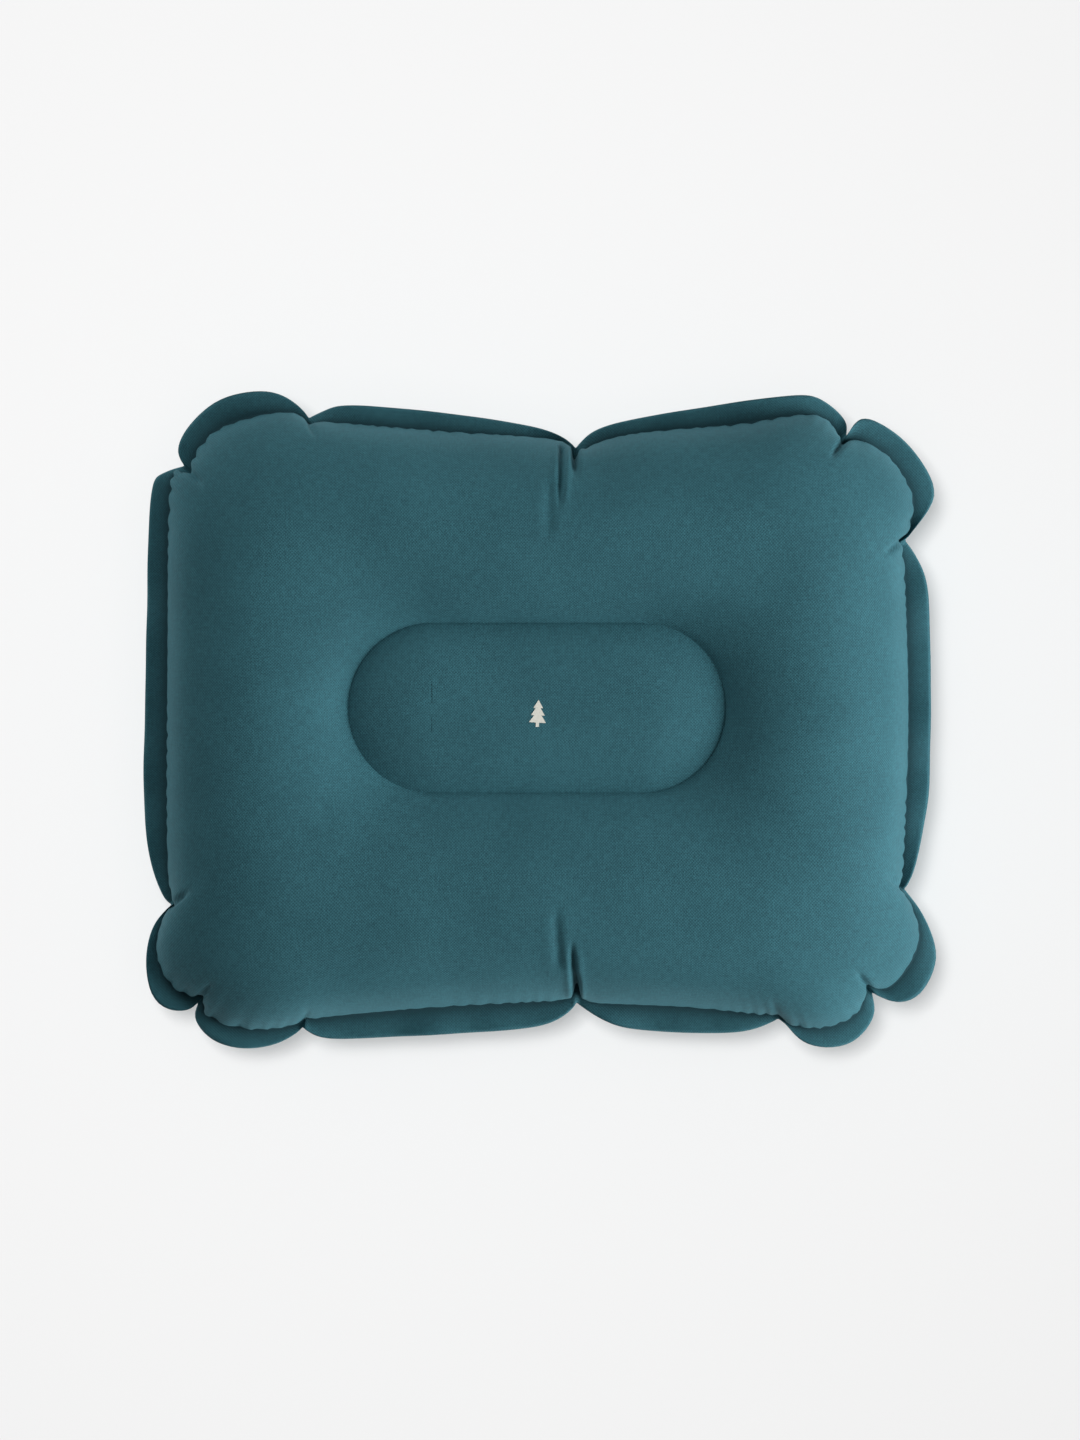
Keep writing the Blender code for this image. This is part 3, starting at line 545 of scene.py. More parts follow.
def creased(grid, gathers):
    """The upper skin with its creases and the valley that each gather leaves."""
    depth = np.zeros(grid.shape[:2])
    level = grid[:, :, :2]
    for start, end, most, width in CREASES:
        away, share = segment_distance(level, start, end)
        dip = np.exp(-(away / width) ** 2)
        bulge = np.exp(-((away / width - CREASE_BULGE_PLACE) / CREASE_BULGE_WIDTH) ** 2)
        depth += most * (dip - CREASE_BULGE * bulge) * np.clip(CREASE_HOLD * (1 - share), 0, 1)
    for place, drawn in gathers:
        inwards = unit(on_spine(place[None]) - place[None])[0]
        away, share = segment_distance(level, place - inwards * GATHER_OVERHANG,
                                       place + inwards * GATHER_VALLEY)
        most = drawn * GATHER_VALLEY_DEPTH * np.clip(VALLEY_HOLD * (1 - share), 0, 1)
        depth += most * np.exp(-(away / GATHER_VALLEY_WIDTH) ** 2)
    held = np.minimum(1.0, np.arange(len(grid)) / CREASED_ROWS)
    return grid - grid_normals(grid) * (depth * held[:, None])[:, :, None]


def puckered(grid, run, seed):
    """The skin with the tiny scallops that the weld leaves in it."""
    random = np.random.default_rng(seed)
    total = run[-1]
    warp = sum(share * np.sin(2 * np.pi * run / total * turns + random.uniform(0, 2 * np.pi))
               for turns, share in PUCKER_WARPS)
    turns = round(total / PUCKER_STEP)
    wave = 1 - 2 * np.abs(np.sin(np.pi * run / total * turns + warp))
    x, y = np.abs(grid[0, :, 0]) / (LENGTH / 2), np.abs(grid[0, :, 1]) / (WIDTH / 2)
    corner = np.clip(CORNER_REACH * (x * y) ** 3, 0, 1)
    most = PUCKER_DEPTH + (CORNER_PUCKER_DEPTH - PUCKER_DEPTH) * corner
    turn = 2 * np.pi * run / total * PATCH_TURNS + random.uniform(0, 2 * np.pi)
    patch = 1 - PATCH_SHARE + PATCH_SHARE * np.sin(turn)
    down = np.concatenate(([0.0], np.cumsum(
        np.linalg.norm(np.diff(grid, axis=0), axis=2).mean(1))))
    fade = (down / PUCKER_RUN) * np.exp(1 - down / PUCKER_RUN)
    lift = -0.5 * fade[:, None] * (wave * most * patch)[None]
    return grid + grid_normals(grid) * lift[:, :, None]


def flange_rings(edge, weld, curl, run):
    """Middle surface of the welded flange, from the weld to the cut edge."""
    total = run[-1]
    wave = sum(np.sin(2 * np.pi * run / total * turns + phase)
               for turns, phase in FLANGE_WAVES) / len(FLANGE_WAVES)
    rings = []
    for row in range(FLANGE_ROWS + 1):
        share = row / FLANGE_ROWS
        ring = np.empty((len(weld), 3))
        ring[:, :2] = weld + (edge - weld) * share
        ring[:, 2] = share ** CURL_POWER * (curl + WAVE_HEIGHT * wave)
        rings.append(ring)
    return np.array(rings)


# ---------------------------------------------------------------- valve's frame

def joint_axis(name):
    """The direction of a joint's axis in the frame."""
    joint = next(j for j in frame["joints"] if j["name"] == name)
    return Vector(joint["axis"]).normalized()


def valve_matrix():
    """The valve's frame, its origin on the skin's outer face and +Z out, in metres."""
    outward = -joint_axis("flap_lift")
    up = joint_axis("plug_hinge")
    across = up.cross(outward)
    low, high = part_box("valve_patch")
    corners = [Vector((x, y, z)) for x in (low.x, high.x) for y in (low.y, high.y)
               for z in (low.z, high.z)]
    centre = sum(corners, Vector()) / 8 - outward * PATCH_MIDDLE * MM
    turn = Matrix((across, up, outward)).transposed().to_4x4()
    return Matrix.Translation(centre) @ turn


def drawn_flat(points, matrix):
    """The lower skin drawn flat round the valve. Points are in millimetres, in the scene."""
    turn = np.array(matrix.to_3x3())
    local = (points - np.array(matrix.translation) / MM) @ turn
    away = np.hypot(local[..., 0], local[..., 1])
    share = np.clip((VALVE_BLEND_RADIUS - away) / (VALVE_BLEND_RADIUS - VALVE_FLAT_RADIUS), 0, 1)
    share = share * share * (3 - 2 * share) * (np.abs(local[..., 2]) < VALVE_BLEND_RADIUS)
    local[..., 2] += (VALVE_SKIN_HEIGHT - local[..., 2]) * share
    return local @ turn.T + np.array(matrix.translation) / MM


def settled(points):
    """The lower skin resting on the floor instead of passing through it."""
    points = points.copy()
    height = points[..., 2]
    low = FLOOR_SOFTNESS * np.exp(np.minimum(height, FLOOR_SOFTNESS) / FLOOR_SOFTNESS - 1)
    points[..., 2] = np.where(height < FLOOR_SOFTNESS, low, height)
    return points


# ---------------------------------------------------------------- skin mesh

def pillow_skin():
    """Both skins and the flange as one closed surface, with the cut's flat plan as its UVs."""
    edge, weld, pinch, curl, run = outline()
    rays = Rays(weld, run)
    start = skin_start(weld, rays, pinch)
    flat = skin_cut(skin_start(weld, rays, 0 * pinch), rays, pinch, run)
    skin = blown_up(start, flat)
    skin = smoothed(skin, rays, run)
    weld = skin[0, :, :2]
    gathers = [(weld[i], pinch[i]) for i in range(len(weld))
               if pinch[i] > max(pinch[i - 1], pinch[(i + 1) % len(weld)])]
    above = np.maximum(skin[:, :, 2] - CREASE_HEIGHT, 0)
    skin[:, :, 2] += above * ((HALF_HEIGHT - TOP_MARGIN - CREASE_HEIGHT) / above.max() - 1)
    capsule = capsule_rings(rays, skin[-1])

    flange = flange_rings(edge, weld, curl, run)
    skin, flat, capsule, flange = (finer(finer(rings, 1, True), 0, False)
                                   for rings in (skin, flat, capsule, flange))
    total = run[-1] + SAMPLE_STEP
    run = np.interp(np.arange(2 * len(run)) / 2, np.arange(len(run) + 1), np.append(run, total))

    skin[-1, :, 2] -= CREASE_SINK
    upper = puckered(creased(skin, gathers), run, seed=4)
    lower = puckered(skin, run, seed=9)
    return assemble(upper, lower, capsule, flange, flat)


def assemble(upper, lower, capsule, flange, flat):
    """Stacks the rings from the upper capsule round the edge to the lower capsule."""
    wall = np.array((0, 0, FLANGE_HALF_WALL))
    down = np.array((1, 1, -1))
    lift = np.linspace(1, 0, SPLIT_ROWS)[:, None, None] ** 2
    upper, lower = upper.copy(), lower.copy()
    for side in (upper, lower):
        side[:SPLIT_ROWS] += wall * lift
    base = np.array((0, 0, SEAM))
    low_skin = settled(drawn_flat(np.concatenate((lower, capsule[1:])) * down + base,
                                  valve_matrix()))
    rings = np.concatenate((
        capsule[:0:-1] + base,
        upper[::-1] + base,
        flange[1:-1] + wall + base,
        flange[-1:] + base,
        flange[-2:0:-1] - wall + base,
        low_skin,
    ))
    plan = plan_rings(flat, capsule, flange)
    crease = len(capsule) - 1
    creases = (crease, len(rings) - 1 - crease)
    # Painted shade: rings next to the weld, on the flange and up both skins, get a darker colour
    # for the shade under the overhanging tube
    band = np.linspace(1, 0, len(flange)) ** WELD_SHADE_POWER
    root = np.clip(1 - np.arange(len(upper)) / WELD_SHADE_ROWS, 0, 1)
    inside = np.zeros(len(capsule) - 1)
    weld_shade_share = np.concatenate((inside, root[::-1], band[1:], band[-2:0:-1], root, inside))
    return mesh_of_rings("pillow_skin", rings, plan, creases, weld_shade_share)


def plan_rings(flat, capsule, flange):
    """The flat plan of every ring, the lower skin's beside the upper one's."""
    level = np.array((1, 1, 0))
    beside = np.array((LENGTH * PLAN_SPREAD, 0, 0))
    shift = flat[0] - flange[0] * level
    outer = flange * level + shift
    upper = [capsule[:0:-1] * level, flat[::-1], outer[1:]]
    lower = [outer[-2:0:-1] + beside, flat + beside, capsule[1:] * level + beside]
    return np.concatenate(upper + lower)


def mesh_of_rings(name, rings, plan, sharp_rings, weld_shade_share):
    """A closed mesh from rings, capped at both ends and sharp along some of them.

    The last argument says how much painted shade each ring gets: most at the weld, as shade under
    the overhanging tube.
    """
    rows, count = rings.shape[:2]
    faces = [face[::-1] for face in grid_faces(rows - 1, count)]
    faces.append(tuple(range(count)))
    faces.append(tuple(range((rows - 1) * count, rows * count))[::-1])
    mesh = bpy.data.meshes.new(name)
    mesh.from_pydata((rings.reshape(-1, 3) * MM).tolist(), [], faces)
    uv = mesh.uv_layers.new(name="cut")
    index = np.empty(len(mesh.loops), np.int32)
    mesh.loops.foreach_get("vertex_index", index)
    flat = plan.reshape(-1, 3)[index, :2] * MM
    uv.data.foreach_set("uv", flat.reshape(-1).astype(np.float32))
    ends = np.empty(2 * len(mesh.edges), np.int32)
    mesh.edges.foreach_get("vertices", ends)
    ring = ends.reshape(-1, 2) // count
    sharp = (ring[:, 0] == ring[:, 1]) & np.isin(ring[:, 0], sharp_rings)
    mesh.attributes.new("sharp_edge", "BOOLEAN", "EDGE").data.foreach_set("value", sharp)
    # Share of painted shade for each ring, read by the fabric's colour
    painted_weld_shade = mesh.attributes.new("painted_weld_shade", "FLOAT", "POINT")
    painted_weld_shade.data.foreach_set("value", np.repeat(weld_shade_share, count).astype(np.float32))
    obj = bpy.data.objects.new(name, mesh)
    bpy.context.scene.collection.objects.link(obj)
    return obj


def cut_valve_hole(obj):
    """Opens the lower skin under the valve, with a round rim inside the patch."""
    matrix = valve_matrix()
    to_valve = matrix.inverted()
    bm = bmesh.new()
    bm.from_mesh(obj.data)

    def local(point):
        return to_valve @ point / MM

    def inside(face):
        middle = local(face.calc_center_median())
        away = math.hypot(middle.x, middle.y)
        return away < VALVE_HOLE_RADIUS and abs(middle.z) < VALVE_HOLE_DEPTH

    doomed = [face for face in bm.faces if inside(face)]
    bmesh.ops.delete(bm, geom=doomed, context="FACES")
    for vert in bm.verts:
        place = local(vert.co)
        away = math.hypot(place.x, place.y)
        if vert.is_boundary and away < 2 * VALVE_HOLE_RADIUS:
            place.x *= VALVE_HOLE_RADIUS / away
            place.y *= VALVE_HOLE_RADIUS / away
            vert.co = matrix @ (place * MM)
    ends = [face for face in bm.faces if len(face.verts) > 4]
    bmesh.ops.triangulate(bm, faces=ends, ngon_method="BEAUTY")
    bmesh.ops.recalc_face_normals(bm, faces=bm.faces)
    bm.to_mesh(obj.data)
    bm.free()
    obj.data.shade_smooth()


# ---------------------------------------------------------------- materials

def linear(code, alpha=1.0):
    """A linear colour from an sRGB hex code."""
    values = [int(code[i:i + 2], 16) / 255 for i in (1, 3, 5)]
    return (*[v / 12.92 if v <= 0.04045 else ((v + 0.055) / 1.055) ** 2.4 for v in values], alpha)


def add_node(tree, kind, inputs=None, **settings):
    """Adds a node with its settings, and a value or a link for each input named."""
    node = tree.nodes.new(kind)
    for name, value in settings.items():
        setattr(node, name, value)
    for name, value in (inputs or {}).items():
        if isinstance(value, bpy.types.NodeSocket):
            tree.links.new(value, node.inputs[name])
        else:
            node.inputs[name].default_value = value
    return node


def new_material(name):
    """A material with a bare shader, and its tree."""
    made = bpy.data.materials.new(name)
    made.use_nodes = True
    tree = made.node_tree
    return made, tree, tree.nodes["Principled BSDF"]


def woven_fabric(name, base, light, dark, weld_shade_colour):
    """Plain-woven polyester laminated to TPU: matt, with fine crossing threads and slubs.

    The weave breaks up the light into tiny cross-wise streaks, and fibre ends catch it at
    grazing angles as a faint sheen. Along the weld the colour is painted darker, as shade under the
    overhanging tube.
    """
    made, tree, shader = new_material(name)
    plan = add_node(tree, "ShaderNodeUVMap", uv_map="cut").outputs["UV"]

    def streaks(along, across, seed):
        scale = [METRE / STREAK_WIDTH] * 3
        scale[along] = METRE / STREAK_LENGTH
        scale[2] = 1.0
        place = add_node(tree, "ShaderNodeMapping",
                         {"Vector": plan, "Location": (seed, seed * 1.7, seed), "Scale": scale})
        return add_node(tree, "ShaderNodeTexNoise",
                        {"Vector": place.outputs[0], "Scale": 1.0, "Detail": 2.0,
                         "Roughness": 0.6}).outputs[0]

    def threads(axis):
        part = add_node(tree, "ShaderNodeSeparateXYZ", {0: plan}).outputs[axis]
        turn = add_node(tree, "ShaderNodeMath", {0: part, 1: 2 * math.pi * METRE / THREAD_STEP},
                        operation="MULTIPLY")
        return add_node(tree, "ShaderNodeMath", {0: turn.outputs[0]},
                        operation="SINE").outputs[0]

    weave = add_node(tree, "ShaderNodeMath", {0: threads(0), 1: threads(1)},
                     operation="MULTIPLY").outputs[0]
    warp, weft = streaks(0, 1, 3.0), streaks(1, 0, 8.0)
    slubs = add_node(tree, "ShaderNodeMath", {0: warp, 1: weft}, operation="ADD").outputs[0]
    height = add_node(tree, "ShaderNodeMath", {0: weave, 1: 0.4, 2: slubs},
                      operation="MULTIPLY_ADD").outputs[0]
    clouds = add_node(tree, "ShaderNodeTexNoise",
                      {"Vector": plan, "Scale": CLOUDS_PER_METRE, "Detail": 3.0}).outputs[0]
    tone = add_node(tree, "ShaderNodeMath", {0: clouds, 1: 0.8, 2: height},
                    operation="MULTIPLY_ADD").outputs[0]
    ramp = add_node(tree, "ShaderNodeValToRGB", {0: add_node(
        tree, "ShaderNodeMapRange", {0: tone, 1: 0.95, 2: 1.85}).outputs[0]})
    ramp.color_ramp.elements[0].color = linear(dark)
    ramp.color_ramp.elements[1].color = linear(light)
    middle = ramp.color_ramp.elements.new(0.5)
    middle.color = linear(base)
    bump = add_node(tree, "ShaderNodeBump",
                    {"Height": height, "Strength": 0.35, "Distance": 0.00025})
    rough = add_node(tree, "ShaderNodeMapRange", {0: slubs, 1: 0.6, 2: 1.4, 3: 0.78, 4: 0.92})
    # Painted shade: a darker colour mixed in next to the weld, for the shade under the overhanging
    # tube
    painted_weld_shade = add_node(tree, "ShaderNodeAttribute", attribute_name="painted_weld_shade").outputs["Fac"]
    colour = add_node(tree, "ShaderNodeMix",
                      {0: painted_weld_shade, 6: ramp.outputs[0], 7: linear(weld_shade_colour)},
                      data_type="RGBA").outputs[2]
    tree.links.new(colour, shader.inputs["Base Color"])
    tree.links.new(rough.outputs[0], shader.inputs["Roughness"])
    tree.links.new(bump.outputs[0], shader.inputs["Normal"])
    shader.inputs["IOR"].default_value = 1.45
    shader.inputs["Specular IOR Level"].default_value = 0.3
    shader.inputs["Sheen Weight"].default_value = 0.25
    shader.inputs["Sheen Roughness"].default_value = 0.5
    shader.inputs["Sheen Tint"].default_value = linear("#7FC4D4")
    return made


def moulded_plastic(name, base, light, roughness, grain_step):
    """Injection-moulded TPU or silicone: a soft satin skin with the mould's fine spark grain."""
    made, tree, shader = new_material(name)
    place = add_node(tree, "ShaderNodeTexCoord").outputs["Object"]
    grain = add_node(tree, "ShaderNodeTexNoise",
                     {"Vector": place, "Scale": METRE / grain_step, "Detail": 2.0}).outputs[0]
    flow = add_node(tree, "ShaderNodeTexNoise",
                    {"Vector": place, "Scale": METRE / FLOW_MARKS, "Detail": 1.0}).outputs[0]
    colour = add_node(tree, "ShaderNodeMix", {0: flow, 6: linear(base), 7: linear(light)},
                      data_type="RGBA").outputs[2]
    rough = add_node(tree, "ShaderNodeMapRange",
                     {0: grain, 1: 0.3, 2: 0.7, 3: roughness - 0.06, 4: roughness + 0.08})
    bump = add_node(tree, "ShaderNodeBump",
                    {"Height": grain, "Strength": 0.25, "Distance": 0.00006})
    tree.links.new(colour, shader.inputs["Base Color"])
    tree.links.new(rough.outputs[0], shader.inputs["Roughness"])
    tree.links.new(bump.outputs[0], shader.inputs["Normal"])
    shader.inputs["IOR"].default_value = 1.5
    return made


def printed_ink(name):
    """Screen-printed ink: flat off-white, faintly broken by the weave under it."""
    made, tree, shader = new_material(name)
    place = add_node(tree, "ShaderNodeTexCoord").outputs["Object"]
    grain = add_node(tree, "ShaderNodeTexNoise",
                     {"Vector": place, "Scale": METRE / INK_BREAKS, "Detail": 2.0}).outputs[0]
    colour = add_node(tree, "ShaderNodeMix",
                      {0: grain, 6: linear("#D3D2C6"), 7: linear("#E9E8DF")},
                      data_type="RGBA").outputs[2]
    bump = add_node(tree, "ShaderNodeBump",
                    {"Height": grain, "Strength": 0.3, "Distance": 0.00008})
    tree.links.new(colour, shader.inputs["Base Color"])
    tree.links.new(bump.outputs[0], shader.inputs["Normal"])
    shader.inputs["Roughness"].default_value = 0.62
    return made


def film(name):
    """Calendered TPU film: thin, milky and slightly rippled from the roller."""
    made, tree, shader = new_material(name)
    place = add_node(tree, "ShaderNodeTexCoord").outputs["Object"]
    ripple = add_node(tree, "ShaderNodeTexNoise",
                      {"Vector": place, "Scale": METRE / FILM_RIPPLE, "Detail": 2.0}).outputs[0]
    colour = add_node(tree, "ShaderNodeMix",
                      {0: ripple, 6: linear("#8FA3A6"), 7: linear("#A9BBBD")},
                      data_type="RGBA").outputs[2]
    bump = add_node(tree, "ShaderNodeBump",
                    {"Height": ripple, "Strength": 0.3, "Distance": 0.0002})
    tree.links.new(colour, shader.inputs["Base Color"])
    tree.links.new(bump.outputs[0], shader.inputs["Normal"])
    shader.inputs["Roughness"].default_value = 0.45
    shader.inputs["IOR"].default_value = 1.5
    return made


# ---------------------------------------------------------------- print and valve pieces

def print_mark(skin, finish):
    """A plain fir tree printed on the capsule, laid on the skin."""
    left = [(-x, y) for x, y in reversed(MARK_OUTLINE[:-1])]
    bm = bmesh.new()
    bm.faces.new([bm.verts.new((x * MM, y * MM, 0)) for x, y in MARK_OUTLINE + tuple(left)])
    bm.normal_update()
    bmesh.ops.triangulate(bm, faces=bm.faces)
    bmesh.ops.subdivide_edges(bm, edges=bm.edges, cuts=3, use_grid_fill=True)
    place = Matrix.Translation((MARK_CENTRE[0] * MM, MARK_CENTRE[1] * MM, 0))
    bmesh.ops.transform(bm, matrix=place @ Matrix.Rotation(math.radians(MARK_TURN), 4, "Z"),
                        verts=bm.verts)
    graph = bpy.context.evaluated_depsgraph_get()
    tree = BVHTree.FromObject(skin, graph)
    for vert in bm.verts:
        hit = tree.ray_cast(Vector((vert.co.x, vert.co.y, 1.0)), Vector((0, 0, -1)))[0]
        vert.co.z = hit.z + MARK_LIFT * MM
    bmesh.ops.recalc_face_normals(bm, faces=bm.faces)
    if sum(face.normal.z for face in bm.faces) < 0:
        bmesh.ops.reverse_faces(bm, faces=bm.faces)
    mesh = bpy.data.meshes.new("fir_print")
    bm.to_mesh(mesh)
    bm.free()
    mesh.materials.append(finish)
    obj = bpy.data.objects.new("fir_print", mesh)
    bpy.context.scene.collection.objects.link(obj)
    return obj


def plan_from_valve(piece):
    """Lays the weave's plan on a piece by its place in the valve's own plane."""
    to_valve = valve_matrix().inverted()
    plan = piece.data.uv_layers.new(name="cut")
    for loop in piece.data.loops:
        place = to_valve @ piece.data.vertices[loop.vertex_index].co
        plan.data[loop.index].uv = place.xy


def grip_tree():
    """Geometry nodes that stand small rounded ribs in a ring, each pointing outwards."""
    tree = bpy.data.node_groups.new("grip_ribs", "GeometryNodeTree")
    sockets = {}
    for name, kind in (("Ribs", "NodeSocketInt"), ("Ring radius", "NodeSocketFloat"),
                       ("Rib size", "NodeSocketVector"), ("Finish", "NodeSocketMaterial")):
        sockets[name] = tree.interface.new_socket(name, in_out="INPUT", socket_type=kind)
    tree.interface.new_socket("Geometry", in_out="OUTPUT", socket_type="NodeSocketGeometry")
    given = tree.nodes.new("NodeGroupInput").outputs
    ring = add_node(tree, "GeometryNodeMeshCircle",
                    {"Vertices": given["Ribs"], "Radius": given["Ring radius"]})
    rib = add_node(tree, "GeometryNodeMeshUVSphere", {"Segments": 12, "Rings": 8, "Radius": 1.0})
    outwards = add_node(tree, "FunctionNodeAlignRotationToVector",
                        {"Vector": tree.nodes.new("GeometryNodeInputPosition").outputs[0]},
                        axis="X")
    copies = add_node(tree, "GeometryNodeInstanceOnPoints",
                      {"Points": ring.outputs[0], "Instance": rib.outputs[0],
                       "Rotation": outwards.outputs[0], "Scale": given["Rib size"]})
    plain = add_node(tree, "GeometryNodeRealizeInstances", {0: copies.outputs[0]})
    coated = add_node(tree, "GeometryNodeSetMaterial",
                      {"Geometry": plain.outputs[0], "Material": given["Finish"]})
    add_node(tree, "NodeGroupOutput", {0: coated.outputs[0]})
    return tree, sockets


def grip_ribs(name, node, ribs, radius, tree, sockets, finish):
    """Ribs moulded on the outer face of a valve piece, so that a thumb doesn't slip."""
    matrix = valve_matrix()
    to_valve = matrix.inverted()
    places = [to_valve @ vert.co for vert in frame["nodes"][node].data.vertices]
    face = max(place.z for place in places if abs(place.xy.length - radius * MM) < RIM_BAND * MM)
    mesh = bpy.data.meshes.new(name)
    obj = bpy.data.objects.new(name, mesh)
    bpy.context.scene.collection.objects.link(obj)
    modifier = obj.modifiers.new("ribs", "NODES")
    modifier.node_group = tree
    for key, value in (("Ribs", ribs), ("Ring radius", (radius - GRIP_INSET) * MM),
                       ("Rib size", tuple(size / 2 * MM for size in
                                          (GRIP_LENGTH, GRIP_WIDTH, 2 * GRIP_HEIGHT))),
                       ("Finish", finish)):
        modifier[sockets[key].identifier] = value
    obj.update_tag()
    result = bpy.data.meshes.new_from_object(
        obj.evaluated_get(bpy.context.evaluated_depsgraph_get()))
    obj.modifiers.clear()
    result.materials.clear()
    result.materials.append(finish)
    result.transform(matrix @ Matrix.Translation((0, 0, face)))
    obj.data = result
    result.shade_smooth()
    return obj


def softened_copy(node, name, finish, bevel):
    """A CAD node's own shape, merged, with its moulded edges rounded."""
    mesh = frame["nodes"][node].data.copy()
    mesh.name = name
    bm = bmesh.new()
    bm.from_mesh(mesh)
    bmesh.ops.remove_doubles(bm, verts=bm.verts, dist=1e-6)
    bmesh.ops.dissolve_limit(bm, angle_limit=math.radians(1.0), verts=bm.verts, edges=bm.edges)
    bm.to_mesh(mesh)
    bm.free()
    mesh.materials.clear()
    mesh.materials.append(finish)
    obj = bpy.data.objects.new(name, mesh)
    bpy.context.scene.collection.objects.link(obj)
    modifier = obj.modifiers.new("rounded edges", "BEVEL")
    modifier.width = bevel * MM
    modifier.segments = 2
    modifier.limit_method = "ANGLE"
    modifier.angle_limit = math.radians(ROUNDING_ANGLE)
    modifier.harden_normals = True
    result = bpy.data.meshes.new_from_object(
        obj.evaluated_get(bpy.context.evaluated_depsgraph_get()))
    obj.modifiers.clear()
    obj.data = result
    result.shade_smooth()
    result.set_sharp_from_angle(angle=math.radians(CREASE_ANGLE))
    return obj


# ---------------------------------------------------------------- scene

def area_light(name, place, size, power, only, shadowless=False):
    """A soft square lamp that looks at the pillow and lights only the pieces named."""
    lamp = bpy.data.lights.new(name, "AREA")
    lamp.shape = "SQUARE"
    lamp.size = size
    lamp.energy = power
    obj = bpy.data.objects.new(name, lamp)
    obj.location = place
    obj.rotation_euler = (LAMP_AIM - Vector(place)).to_track_quat("-Z", "Y").to_euler()
    bpy.context.scene.collection.objects.link(obj)
    group = bpy.data.collections.new(name + "_lights")
    for piece in only:
        group.objects.link(piece)
    obj.light_linking.receiver_collection = group
    if shadowless:
        obj.light_linking.blocker_collection = group


def floor_piece():
    """A pale sheet of uncoated paper under the pillow: matt, with the faintest fibre grain."""
    mesh = bpy.data.meshes.new("floor")
    corners = [(x * FLOOR_HALF, y * FLOOR_HALF, 0)
               for x, y in ((-1, -1), (1, -1), (1, 1), (-1, 1))]
    mesh.from_pydata(corners, [], [(0, 1, 2, 3)])
    made, tree, shader = new_material("matt_paper")
    place = add_node(tree, "ShaderNodeTexCoord").outputs["Object"]
    grain = add_node(tree, "ShaderNodeTexNoise",
                     {"Vector": place, "Scale": METRE / PAPER_FIBRES}).outputs[0]
    bump = add_node(tree, "ShaderNodeBump",
                    {"Height": grain, "Strength": 0.05, "Distance": 0.0001})
    tree.links.new(bump.outputs[0], shader.inputs["Normal"])
    shader.inputs["Base Color"].default_value = linear("#E6E6E6")
    shader.inputs["Roughness"].default_value = 0.95
    shader.inputs["Specular IOR Level"].default_value = 0.0
    mesh.materials.append(made)
    obj = bpy.data.objects.new("floor", mesh)
    bpy.context.scene.collection.objects.link(obj)
    return obj


def add_camera():
    """A camera straight above the pillow's middle."""
    camera = bpy.data.cameras.new("camera")
    camera.lens = LENS
    camera.sensor_width = SENSOR
    obj = bpy.data.objects.new("camera", camera)
    distance = FIELD_WIDTH * FRAME_SHAPE * LENS / SENSOR
    obj.location = (0, 0, (distance + SEAM) * MM)
    bpy.context.scene.collection.objects.link(obj)
    bpy.context.scene.camera = obj


def skin_pieces(teal, ink):
    """The padded skin and the print on it."""
    skin = pillow_skin()
    cut_valve_hole(skin)
    skin.data.materials.append(teal)
    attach(skin, "shell")
    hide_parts("top_panel", "bottom_panel")

    mark = print_mark(skin, ink)
    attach(mark, "shell")
    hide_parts("print_mark")
    return [skin, mark]


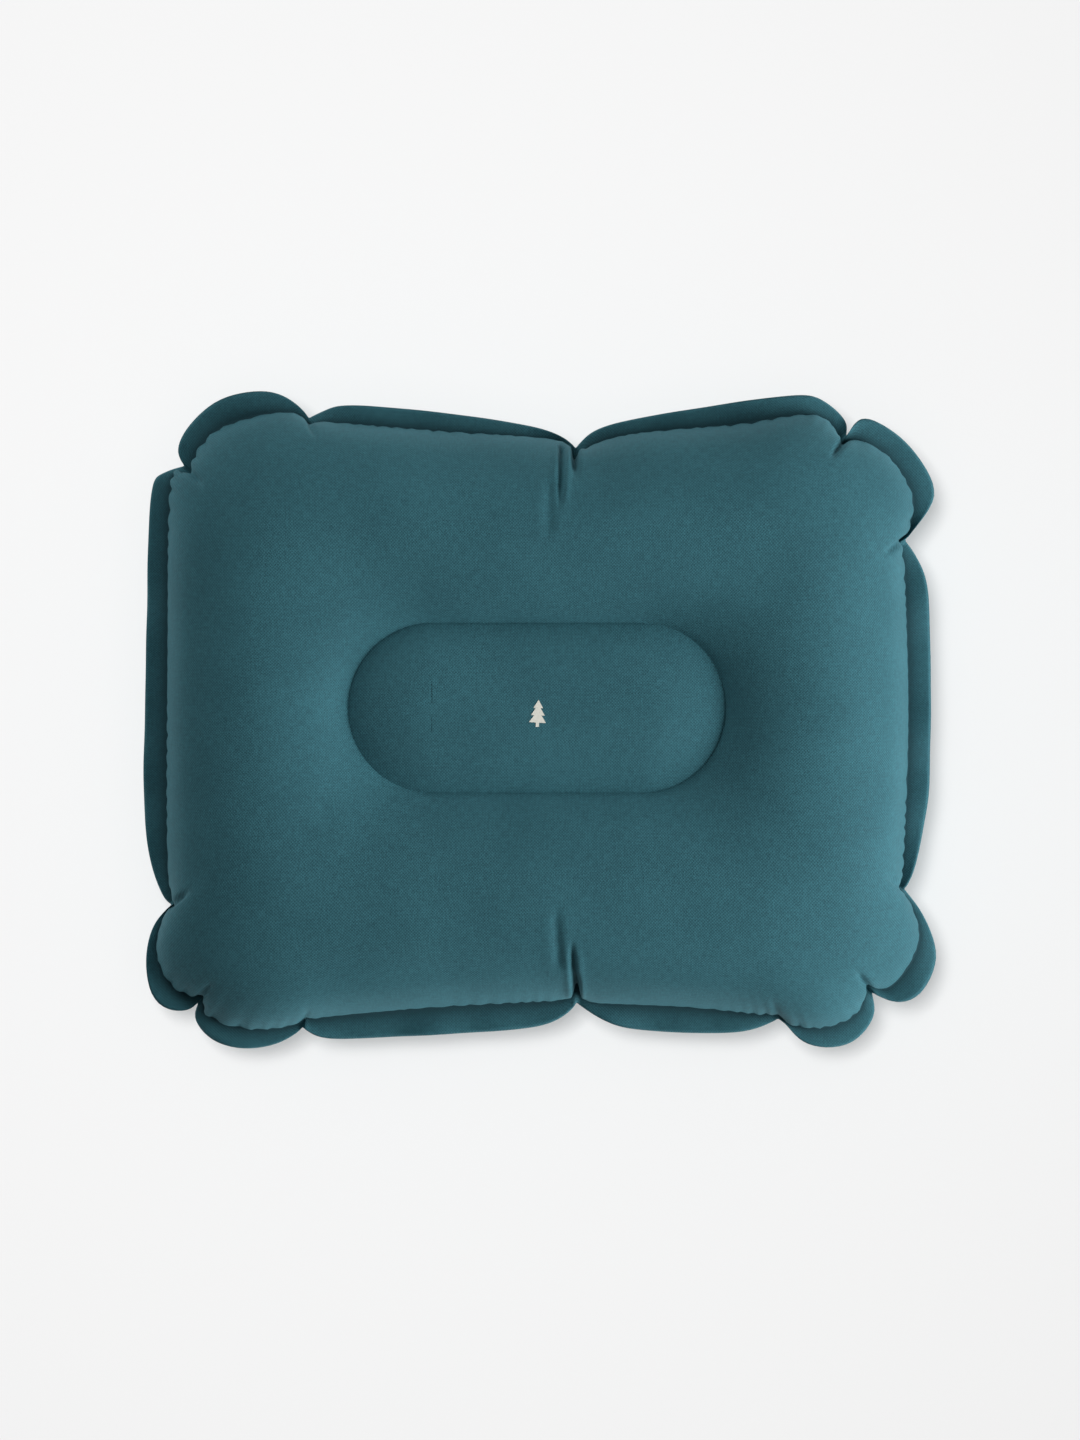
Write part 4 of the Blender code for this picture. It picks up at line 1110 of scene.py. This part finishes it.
def valve_mouldings(moulded):
    """The valve's rounded mouldings and the grip ribs on its cap and plug."""
    pieces = []
    for node, name, body, bevel in (("valve_base", "valve_base_rounded", "shell", 0.3),
                                    ("tether_collar", "tether_collar_rounded", "shell", 0.25),
                                    ("deflate_plug", "deflate_plug_rounded", "plug", 0.25),
                                    ("inflate_cap", "inflate_cap_rounded", "cap", 0.25)):
        piece = softened_copy(node, name, moulded, bevel)
        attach(piece, body)
        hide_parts(node)
        pieces.append(piece)
    tree, sockets = grip_tree()
    for node, name, body, ribs, radius in (
            ("inflate_cap", "cap_grip_ribs", "cap", CAP_RIBS, CAP_RADIUS),
            ("deflate_plug", "plug_grip_ribs", "plug", PLUG_RIBS, PLUG_RIM_RADIUS)):
        piece = grip_ribs(name, node, ribs, radius, tree, sockets, moulded)
        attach(piece, body)
        pieces.append(piece)
    return pieces


def patch_and_flap(teal, silicone):
    """The patch that welds the valve in, and the flap that holds the air back."""
    patch = softened_copy("valve_patch", "valve_patch_welded", teal, 0.15)
    plan_from_valve(patch)
    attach(patch, "shell")
    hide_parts("valve_patch")
    flap = softened_copy("check_flap", "check_flap_rounded", silicone, 0.15)
    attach(flap, "flap")
    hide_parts("check_flap")
    return [patch, flap]


def coated_web(clear_film):
    """The web inside, as the frame has it, in its film."""
    web = frame["nodes"]["center_baffle"]
    web.data.materials.clear()
    web.data.materials.append(clear_film)
    return web


def add_lighting(pieces, floor):
    """Lamps for the pillow and for the floor, each lighting only its own."""
    for name, place, size, power in PILLOW_LAMPS:
        area_light(name, place, size, power, pieces)
    area_light("floor_even", (0.0, 0.0, 2.9), 2.4, 58.0, [floor], shadowless=True)
    area_light("floor_shadow", (-0.24, 0.24, 2.6), 0.5, 34.0, [floor])
    world = bpy.data.worlds.new("studio")
    world.use_nodes = True
    background = world.node_tree.nodes["Background"].inputs
    background["Color"].default_value = linear("#FFFFFF")
    background["Strength"].default_value = WORLD_STRENGTH
    bpy.context.scene.world = world
    bpy.context.scene.view_settings.view_transform = "Standard"


def main():
    # The darkest colour here is painted shade along the weld
    teal = woven_fabric("laminated_polyester_woven", base="#2D5D67", light="#376B76",
                        dark="#234F59", weld_shade_colour="#14343C")
    moulded = moulded_plastic("tpu_moulded", base="#1B2C30", light="#22363B",
                              roughness=0.42, grain_step=TPU_SPARK_GRAIN)
    silicone = moulded_plastic("silicone_moulded", base="#B9C2C2", light="#C8CFCE",
                               roughness=0.3, grain_step=SILICONE_SPARK_GRAIN)
    ink = printed_ink("screen_ink_printed")
    clear_film = film("tpu_film_calendered")

    pieces = skin_pieces(teal, ink) + valve_mouldings(moulded) + patch_and_flap(teal, silicone)
    pieces.append(coated_web(clear_film))
    add_lighting(pieces, floor_piece())
    add_camera()


main()
